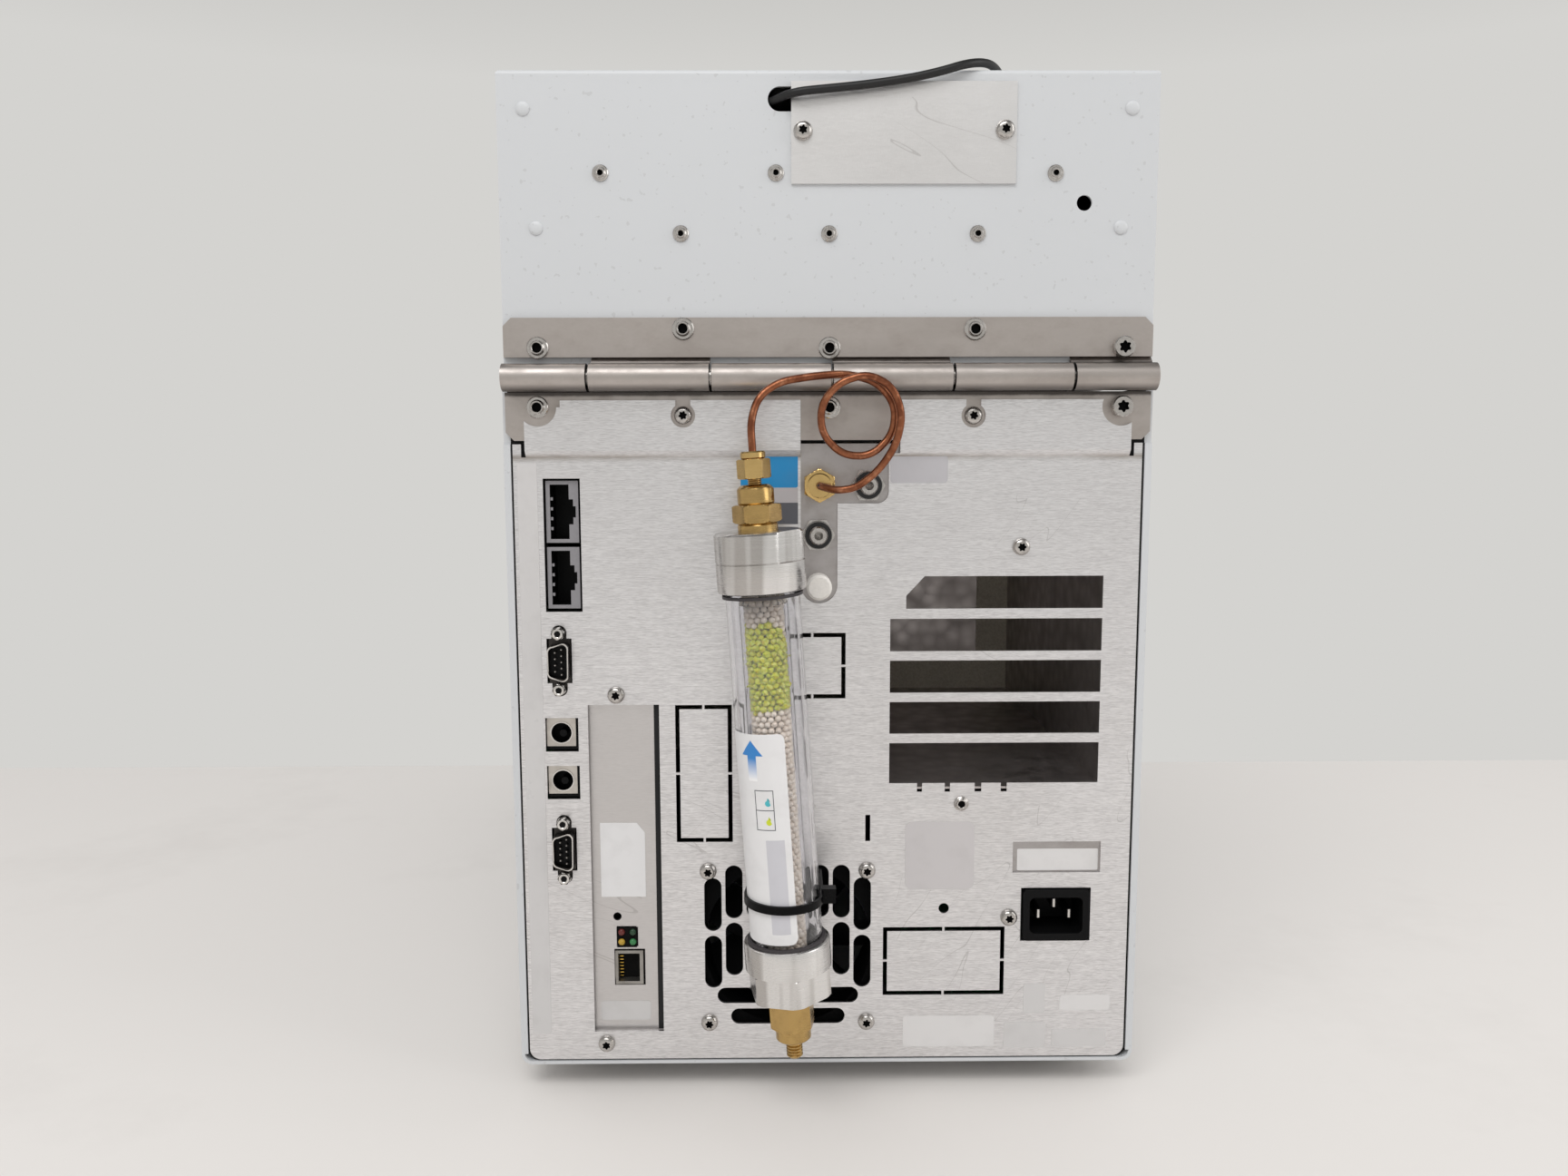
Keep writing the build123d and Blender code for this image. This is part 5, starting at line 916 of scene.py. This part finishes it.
def outline_frame(u, v, line):
    """Four thin bars along a rectangle's edges and one across its middle."""
    middle = (v[0] + v[1]) / 2
    spans = [(u, (v[0], v[0] + line)), (u, (v[1] - line, v[1])), ((u[0], u[0] + line), v),
             ((u[1] - line, u[1]), v), (u, (middle - line / 2, middle + line / 2))]
    return [corners(*span) for span in spans]


def droplet(x, z, size):
    """Outline of a drop with its point upwards."""
    return [*arc(x, z, size, -30, -300, 14), (x, z + 1.9 * size)]


def print_on_trap(name, key, outlines, radius=TRAP_TUBE + 0.1, thick=0.06):
    work = bmesh.new()
    for outline in outlines:
        wrap(work, outline, radius, thick)
    piece(name, work, key)


def trap_label():
    """White wrap-round label with a flow arrow, a colour key and a plain strip."""
    print_on_trap("trap_label", "white_film", [rounded(*LABEL, 3.0)], TRAP_TUBE, 0.1)
    (x, tip), foot = ARROW
    head, shaft, neck = 5.2, 2.1, tip - 6.4
    print_on_trap("flow_arrow", "arrow", [[
        (x, tip), (x - head, neck), (x - shaft, neck), (x - shaft, foot), (x + shaft, foot), (x + shaft, neck),
        (x + head, neck)]])
    print_on_trap("colour_key_frame", "ink", outline_frame(*KEY_BOX, 0.28))
    (left, _), (low, _) = KEY_BOX
    for colour, height in (("yellow", low + 3.4), ("teal", low + 11.4)):
        print_on_trap(colour + "_key_drop", colour + "_film", [droplet(left + 5.6, height, 1.25)])
    print_on_trap("plain_strip", "grey_strip", [rounded(*PLAIN_STRIP, 0.3)])


# ---- labels on the rear ----
LABELS = {
    "socket_label_strip": ("silver_film", rounded((-134.5, -125.9), (15.0, 274.0), 0.6)),
    "port_label": ("grey_film", rounded((26.8, 51.7), (264.9, 276.9), 1.6)),
    "blank_symbol_plate": ("symbol_film", rounded((34.8, 65.9), (82.2, 113.6), 3.0)),
    "foot_label_wide": ("pale_film", rounded((34.5, 76.3), (7.4, 22.0), 1.0)),
    "foot_label_square": ("silver_film", rounded((80.8, 99.8), (6.5, 18.7), 0.8)),
    "foot_label_right": ("silver_film", rounded((102.8, 127.7), (7.0, 15.2), 0.8)),
    "foot_label_upper": ("silver_film", rounded((89.5, 99.3), (23.2, 37.2), 0.8)),
    "foot_label_narrow": ("pale_film", rounded((106.0, 129.0), (24.5, 31.6), 1.4)),
    "card_foot_label": ("silver_film", rounded((-103.7, -80.8), (19.7, 28.8), 1.2), -3.0),
    "card_label": (
        "white_film", [(-102.4, 78.4), (-82.3, 78.4), (-82.3, 108.4), (-85.9, 112.9), (-102.4, 112.9)], -3.0),
    "gas_blue_band": ("blue_film", rounded((-38.0, -13.2), (263.1, 277.0), 0.9)),
    "gas_light_band": ("light_film", rounded((-38.0, -13.2), (256.6, 263.1), 0.02)),
    "gas_dark_band": ("dark_film", rounded((-38.0, -13.2), (247.3, 256.6), 0.02)),
    "rating_plate": ("bracket", rounded((82.6, 123.6), (89.0, 104.8)), -2.2, 1.0),
    "rating_label": ("pale_film", rounded((85.5, 122.0), (90.4, 100.4), 0.5), -1.2),
}


def flat_piece(name, key, outline, low=0.0, thick=0.15):
    work = bmesh.new()
    slab(work, outline, low, low + thick)
    piece(name, work, key)


# ---- small rear pieces ----
LAMPS = {"lamp_yellow": (-93.6, 57.2), "lamp_green": (-88.5, 57.2), "lamp_red": (-93.6, 61.8),
         "lamp_dark_green": (-88.5, 61.8)}
LAMP_DOME = [(CENTRE, 0), (1.55, 0), (1.55, 0.3), (1.3, 0.8), (0.8, 1.15), (CENTRE, 1.3)]
WASHERS = [(17.3, 264.0), (-4.4, 242.5)]
WASHER_RING = [(4.0, 0), (5.8, 0), (6.1, 0.3), (6.1, 1.4), (5.8, 1.66), (4.0, 1.66)]
CONTACTS = [39.6 + 10.8 / 7 * i for i in range(8)]
JACKS = [(239.4, 266.3), (210.5, 237.5)]
JACK_SIDES = [(-122.7, -120.9), (-109.8, -108.6)]
JACK_STEPS = [(-120.9, -112.7, 1.6), (-112.7, -110.9, 8.0), (-110.9, -109.8, 11.0)]
JACK_FACE = (-2.0, -1.75)
RIDGE = (-120.9, -119.8)
ROUND_SOCKETS = [(-117.9, 154.2), (-117.7, 132.5)]
SERIAL_PORTS = [(-118.2, 187.4), (-118.0, 101.8)]
PIN_PITCH = 2.77
PANEL_STANDOFF = (59.7, 121.9)
MAINS_PINS = [(96.2, 69.05), (103.2, 74.05), (110.2, 69.05)]


def pierced(work, outer, inner, low, high):
    """Plate by the rear panel with a hole, both outlines having as many points."""
    rings = [(outer, low), (outer, high), (inner, high), (inner, low), (outer, low)]
    skin(work, [[rear(u, v, out) for u, v in line] for line, out in rings], close=False)


def square_outline(u, v):
    """Rectangle's outline in even angular steps about its middle."""
    half_u, half_v = (u[1] - u[0]) / 2, (v[1] - v[0]) / 2
    points = []
    for x, y in arc(0, 0, 1):
        reach = min(half_u / max(abs(x), 1e-6), half_v / max(abs(y), 1e-6))
        points.append((sum(u) / 2 + reach * x, sum(v) / 2 + reach * y))
    return points


def d_shape(u, v, width, height, radius=2.4):
    """Outline of a nine-pin port's shell, narrower on its left."""
    right, left, taper = u + width / 2 - radius, u - width / 2 + radius, 1.4
    top, bottom = v + height / 2 - radius, v - height / 2 + radius
    centres = [(right, top, 0), (left, top - taper, 90), (left, bottom + taper, 160), (right, bottom, 250)]
    return [p for cu, cv, start in centres for p in arc(cu, cv, radius, start, 90, 7)]


def jack_face():
    """Boxes of the injector jacks' faces, with a stepped opening and four ridges each."""
    boxes = []
    for low, high in JACKS:
        boxes += [(side, (low, high), *JACK_FACE) for side in JACK_SIDES]
        for start, end, inset in JACK_STEPS:
            boxes += [((start, end), v, *JACK_FACE) for v in ((low, low + inset), (high - inset, high))]
        for i in range(4):
            height = low + (high - low) * (0.26 + 0.16 * i)
            boxes.append((RIDGE, (height - 1.5, height - 0.2), -3.4, -2.4))
    return boxes


def round_sockets():
    """Square faces of the two round sockets, with their rims."""
    faces, rims = bmesh.new(), bmesh.new()
    for u, v in ROUND_SOCKETS:
        hole, rim, throat = (arc(u - 0.5, v + 0.6, radius) for radius in (4.7, 5.0, 4.5))
        pierced(faces, square_outline((u - 7.0, u + 5.8), (v - 5.6, v + 7.1)), hole, -2.2, -2.0)
        pierced(rims, rim, throat, -2.3, -1.5)
    piece("round_socket_faces", faces, "socket_face")
    piece("round_socket_rims", rims, "bright")


def port_details():
    """Black insert, bright rim, pins and screw locks of both nine-pin ports."""
    inserts, rims, pins = bmesh.new(), bmesh.new(), bmesh.new()
    for u, v in SERIAL_PORTS:
        slab(inserts, d_shape(u, v, 7.8, 15.6, 2.0), -1.2, 1.4)
        pierced(rims, d_shape(u, v, 9.2, 17.0), d_shape(u, v, 8.3, 16.1), 4.1, 4.75)
        for count, across in ((4, -1.4), (5, 1.4)):
            for i in range(count):
                height = v + (i - (count - 1) / 2) * PIN_PITCH
                skin(pins, [[rear(a, b, out) for a, b in arc(u + across, height, r, steps=12)]
                            for out, r in ((1.4, 0.45), (3.1, 0.45), (3.5, 0.2))])
        for side in (-1, 1):
            place = towards_back(u, v + side * 12.5)
            hexagon(rims, place, 5.2, -1.0, 3.5, turn=15.0 * side)
            lathe(rims, [(1.35, 3.4), (2.5, 3.4), (2.3, 4.0), (1.6, 4.1), (1.35, 3.9)], place, 32)
            lathe(inserts, [(CENTRE, 3.4), (1.36, 3.4), (1.36, 3.75), (CENTRE, 3.7)], place, 32)
    piece("port_inserts", inserts, "black")
    piece("port_rims", rims, "bright")
    piece("port_pins", pins, "bright")


def rear_small_pieces():
    """Faces, contacts, pins, lamps and washers at the rear."""
    bars("injector_jack_faces", "jack_face", jack_face())
    round_sockets()
    port_details()
    # Painted shade: a black strip at the card's right edge stands for the dark gap between the panel and the
    # recessed card.
    bars("card_edge_gasket", "rubber", [((-77.4, -74.9), (15.6, 167.6), -3.0, -2.4)])
    work = bmesh.new()
    tubular_stud(work, towards_back(*PANEL_STANDOFF), 3.3, 2.4, 1.5, 1.6)
    # Its hole gets painted shade as the second finish.
    piece("panel_standoff", work, "fastener", second="bore")
    tips = [((u - 0.5, u + 0.5), (v - 1.9, v + 1.9), -3.6, -3.3) for u, v in MAINS_PINS]
    bars("mains_pin_tips", "bright", tips)
    bars("network_jack_throat", "throat", [((-96.4, -85.6), (38.2, 51.8), -7.4, -7.0),
                                           ((-95.9, -86.2), (55.0, 64.0), -3.1, -2.7)])
    for key, (u, v) in LAMPS.items():
        turned(key, key, LAMP_DOME, [towards_back(u, v, -2.6)], 24)
    turned("union_washers", "washer", WASHER_RING, [towards_back(*spot) for spot in WASHERS])
    bars("network_jack_contacts", "gold", [((-95.0, -93.4), (v - 0.2, v + 0.2), -9.2, -6.2) for v in CONTACTS])


# ---- signal cable ----
CABLE_DIAMETER = 3.5
CABLE_POINTS = [
    (-48.0, 423.0, -14.0), (-36.0, 423.0, -14.0), (-24.5, 424.6, -4.0), (-15.0, 426.3, 4.2), (-2.0, 427.7, 3.6),
    (14.0, 429.3, 3.3), (31.0, 431.6, 3.0), (46.0, 434.7, 3.0), (58.0, 438.7, 1.4), (68.0, 441.2, -6.5),
    (75.0, 440.8, -20.0), (79.2, 440.2, -36.0), (80.0, 440.4, -53.0), (80.0, 440.4, -68.0),
]


def signal_cable():
    """Black signal cable out of the lid's slot, along the cover plate and over the lid."""
    curve = bpy.data.curves.new("signal_cable_line", "CURVE")
    curve.dimensions = "3D"
    curve.bevel_depth = CABLE_DIAMETER / 2 * MM
    curve.bevel_resolution = 6
    curve.resolution_u = 12
    spline = curve.splines.new("NURBS")
    spline.points.add(len(CABLE_POINTS) - 1)
    for point, spot in zip(spline.points, CABLE_POINTS):
        point.co = (*rear(*spot), 1.0)
    spline.order_u = 3
    spline.use_endpoint_u = True
    curve.materials.append(finish("cable"))
    cable = bpy.data.objects.new("signal_lead", curve)
    bpy.context.scene.collection.objects.link(cable)
    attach(cable, "lid")
    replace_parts(cable, "signal_cable")
    rear(*CABLE_POINTS[0])


# ---- stage ----
EYE = (-24.05, 279.73, 511.54)
TURN = math.radians(180 - 0.5258)
DIP = math.radians(90 - 6.7302)
ROLL = math.radians(-0.1566)
LENS = 27.04
BENCH_BACK = CASE_LOW.y - 0.052
BENCH_THICK = 0.03


def stage_camera():
    camera = bpy.data.cameras.new("camera")
    camera.sensor_width = 36.0
    camera.lens = LENS
    camera.clip_start = 0.01
    holder = bpy.data.objects.new("camera", camera)
    look = Matrix.Rotation(TURN, 4, "Z") @ Matrix.Rotation(DIP, 4, "X") @ Matrix.Rotation(ROLL, 4, "Z")
    holder.matrix_world = Matrix.Translation(rear(*EYE)) @ look
    bpy.context.scene.collection.objects.link(holder)
    bpy.context.scene.camera = holder


def stage_world(look):
    """Even room light, brighter overhead, with a plain wall behind the object and in its reflections."""
    world = bpy.data.worlds.new("room")
    world.use_nodes = True
    bpy.context.scene.world = world
    world.node_tree.nodes.clear()
    room = Graph(world.node_tree)
    facing = room.add("ShaderNodeTexCoord", output="Generated")
    rise = room.add("ShaderNodeSeparateXYZ", None, {"Vector": facing}, output="Z")
    even = room.between(rise, -0.6, 0.9, look.low_light, look.high_light)
    light = room.add("ShaderNodeBackground", None, {"Color": (1.0, 0.998, 0.998, 1), "Strength": even})
    seen = room.between(abs(rise + 0.02), 0.30, 0.75, 1.0, look.dim_corner)
    wall = room.add("ShaderNodeBackground", None, {"Color": (*look.wall_colour, 1), "Strength": seen})
    camera, glossy, through = (room.add("ShaderNodeLightPath", output=f"Is {kind} Ray")
                               for kind in ("Camera", "Glossy", "Transmission"))
    plain_wall = room.between(camera + glossy + through, 0.0, 1.0)
    both = room.add("ShaderNodeMixShader", None, {0: plain_wall, 1: light, 2: wall})
    room.add("ShaderNodeOutputWorld", None, {"Surface": both})


def area_light(name, spot, aim, size, energy):
    light = bpy.data.lights.new(name, "AREA")
    light.shape = "RECTANGLE"
    light.size, light.size_y = size
    light.energy = energy
    light.color = (1.0, 0.998, 0.995)
    holder = bpy.data.objects.new(name, light)
    holder.location = spot
    holder.rotation_euler = (Vector(aim) - Vector(spot)).to_track_quat("-Z", "Y").to_euler()
    bpy.context.scene.collection.objects.link(holder)


def stage_bench():
    work = bmesh.new()
    bmesh.ops.create_cube(work, size=1.0)
    front = REAR_Y + 1.6
    for vert in work.verts:
        x, y, z = vert.co
        vert.co = Vector((x * 5.0, BENCH_BACK if y < 0 else front, 0 if z > 0 else -BENCH_THICK))
    bench = bpy.data.objects.new("bench", bpy.data.meshes.new("bench"))
    work.to_mesh(bench.data)
    work.free()
    bench.data.materials.append(finish("bench"))
    bpy.context.scene.collection.objects.link(bench)


# ---- add-on ----
def setting(kind, name, use, default, **limits):
    return getattr(bpy.props, f"Float{kind}Property")(name=name, description=use, default=default, **limits)


def colour_setting(name, use, code):
    return setting("Vector", name, use, shade(code)[:3], subtype="COLOR", size=3)


def length_setting(name, use, metres):
    return setting("", name, use, metres, min=0.0001, precision=4, unit="LENGTH")


def strength_setting(name, use, strength, unit="NONE"):
    return setting("", name, use, strength, min=0.0, unit=unit)


class PieceColours(bpy.types.PropertyGroup):
    """Colours of the case, the labels, the cable and the bench."""

    paint: colour_setting("Paint", "Powder coat of the case and the lid", "cbcdcf")
    panel: colour_setting("Rear panel", "Brushed steel of the rear panel", "eeedee")
    bezel: colour_setting("Front covers", "Moulded plastic of the front and the top cover", "cdccc6")
    white_film: colour_setting("White labels", "Film of the trap's and the card's labels", "e0dfdf")
    blue_film: colour_setting("Blue label", "Film of the label beside the gas ports", "1b86c0")
    cable: colour_setting("Cable", "Jacket of the signal cable", "141415")
    bench: colour_setting("Bench", "Bench that the object stands on", "e0dcd8")


class TrapSizes(bpy.types.PropertyGroup):
    """Sizes of what the moisture trap's clear tube shows."""

    shield_wall: length_setting("Shield wall", "Wall of the clear outer tube", 0.002)
    glass_radius: length_setting("Cartridge radius", "Outer radius of the glass cartridge", 0.0102)
    glass_wall: length_setting("Cartridge wall", "Wall of the glass cartridge", 0.0014)
    bead_radius: length_setting("Bead radius", "Radius of the sieve beads", 0.0013)
    gel_bottom: length_setting("Indicator from", "Lower end of the indicator, from the trap's foot", 0.1535)
    gel_top: length_setting("Indicator to", "Upper end of the indicator, from the trap's foot", 0.187)


class StageLook(bpy.types.PropertyGroup):
    """Light and background of the stage."""

    wall_colour: colour_setting("Wall", "Colour seen behind the object", "d4d3d0")
    low_light: strength_setting("Light from below", "World strength below the horizon", 0.42)
    high_light: strength_setting("Light from above", "World strength overhead", 0.86)
    dim_corner: strength_setting("Wall far up and down", "Strength of the wall straight up and down", 0.3)
    lamp_power: strength_setting("Lamp power", "Power of the main soft lamp", 16.0, "POWER")


class FinishOperator(bpy.types.Operator):
    """Gives every CAD piece its finish"""

    bl_idname = "chromatograph.finishes"
    bl_label = "Finishes"

    def execute(self, context):
        for key, names in NODE_FINISHES.items():
            for name in names:
                mesh = NODES[name].data
                mesh.materials.clear()
                mesh.materials.append(finish(key))
        bare = sorted(set(NODES) - {name for names in NODE_FINISHES.values() for name in names})
        if bare:
            raise ValueError(f"CAD pieces without a finish: {bare}")
        return {"FINISHED"}


class FixingsOperator(bpy.types.Operator):
    """Replaces the screws, studs and rivets with detailed ones"""

    bl_idname = "chromatograph.fixings"
    bl_label = "Fixings"

    def execute(self, context):
        dress_fixings("rear_fixings", "base", "panel_screws")
        dress_fixings("lid_fixings", "lid", "lid_screws")
        return {"FINISHED"}


class TrapOperator(bpy.types.Operator):
    """Builds the moisture trap's clear tubes, its filling and its label"""

    bl_idname = "chromatograph.moisture_trap"
    bl_label = "Moisture trap"

    def execute(self, context):
        sizes = context.scene.chromatograph_trap
        trap_glass(sizes)
        trap_cap("trap_lower_cap", "trap_bottom_cap", LOW_CAP[::-1], [(70 + 60 * i, 15.95) for i in range(6)])
        trap_cap("trap_upper_cap", "trap_top_cap", HIGH_CAP, [(140, 16.4), (320, 16.4)])
        trap_fittings()
        trap_filling(sizes)
        trap_label()
        return {"FINISHED"}


class LabelsOperator(bpy.types.Operator):
    """Lays the bare labels and stickers on the rear"""

    bl_idname = "chromatograph.labels"
    bl_label = "Rear labels"

    def execute(self, context):
        for name, terms in LABELS.items():
            flat_piece(name, *terms)
        return {"FINISHED"}


class SmallPiecesOperator(bpy.types.Operator):
    """Adds the lamps, washers and socket contacts at the rear"""

    bl_idname = "chromatograph.small_pieces"
    bl_label = "Small rear pieces"

    def execute(self, context):
        rear_small_pieces()
        return {"FINISHED"}


class CableOperator(bpy.types.Operator):
    """Lays the signal cable along its route"""

    bl_idname = "chromatograph.signal_cable"
    bl_label = "Signal cable"

    def execute(self, context):
        signal_cable()
        return {"FINISHED"}


class StageOperator(bpy.types.Operator):
    """Sets up the bench, the room's light and the camera"""

    bl_idname = "chromatograph.stage"
    bl_label = "Stage"

    def execute(self, context):
        look = context.scene.chromatograph_stage
        stage_camera()
        stage_world(look)
        stage_bench()
        aim = rear(0, 200)
        area_light("ceiling_lamp", (0.35, REAR_Y + 1.1, 1.75), aim, (1.5, 0.9), look.lamp_power)
        area_light("side_lamp", (-1.5, REAR_Y + 0.5, 0.9), aim, (0.8, 1.2), look.lamp_power * 0.35)
        bpy.context.scene.view_settings.view_transform = "Standard"
        return {"FINISHED"}


STEPS = (FinishOperator, FixingsOperator, TrapOperator, LabelsOperator, SmallPiecesOperator, CableOperator,
         StageOperator)


class ChromatographPanel(bpy.types.Panel):
    """Shows the build steps' buttons and their settings in the 3D view's sidebar."""

    bl_idname = "VIEW3D_PT_chromatograph"
    bl_label = "Gas chromatograph"
    bl_space_type = "VIEW_3D"
    bl_region_type = "UI"
    bl_category = "Chromatograph"

    def draw(self, context):
        for step in STEPS:
            self.layout.operator(step.bl_idname)
        for slot, group in SETTINGS.items():
            for name in group.__annotations__:
                self.layout.prop(getattr(context.scene, slot), name)


SETTINGS = {"chromatograph_colours": PieceColours, "chromatograph_trap": TrapSizes,
            "chromatograph_stage": StageLook}
CLASSES = (*SETTINGS.values(), *STEPS, ChromatographPanel)


def register():
    for cls in CLASSES:
        bpy.utils.register_class(cls)
    for slot, group in SETTINGS.items():
        setattr(bpy.types.Scene, slot, bpy.props.PointerProperty(type=group))


def unregister():
    for slot in SETTINGS:
        delattr(bpy.types.Scene, slot)
    for cls in reversed(CLASSES):
        bpy.utils.unregister_class(cls)


def main():
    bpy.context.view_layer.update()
    register()
    for step in STEPS:
        group, name = step.bl_idname.split(".")
        getattr(getattr(bpy.ops, group), name)()


if __name__ == "__main__":
    main()
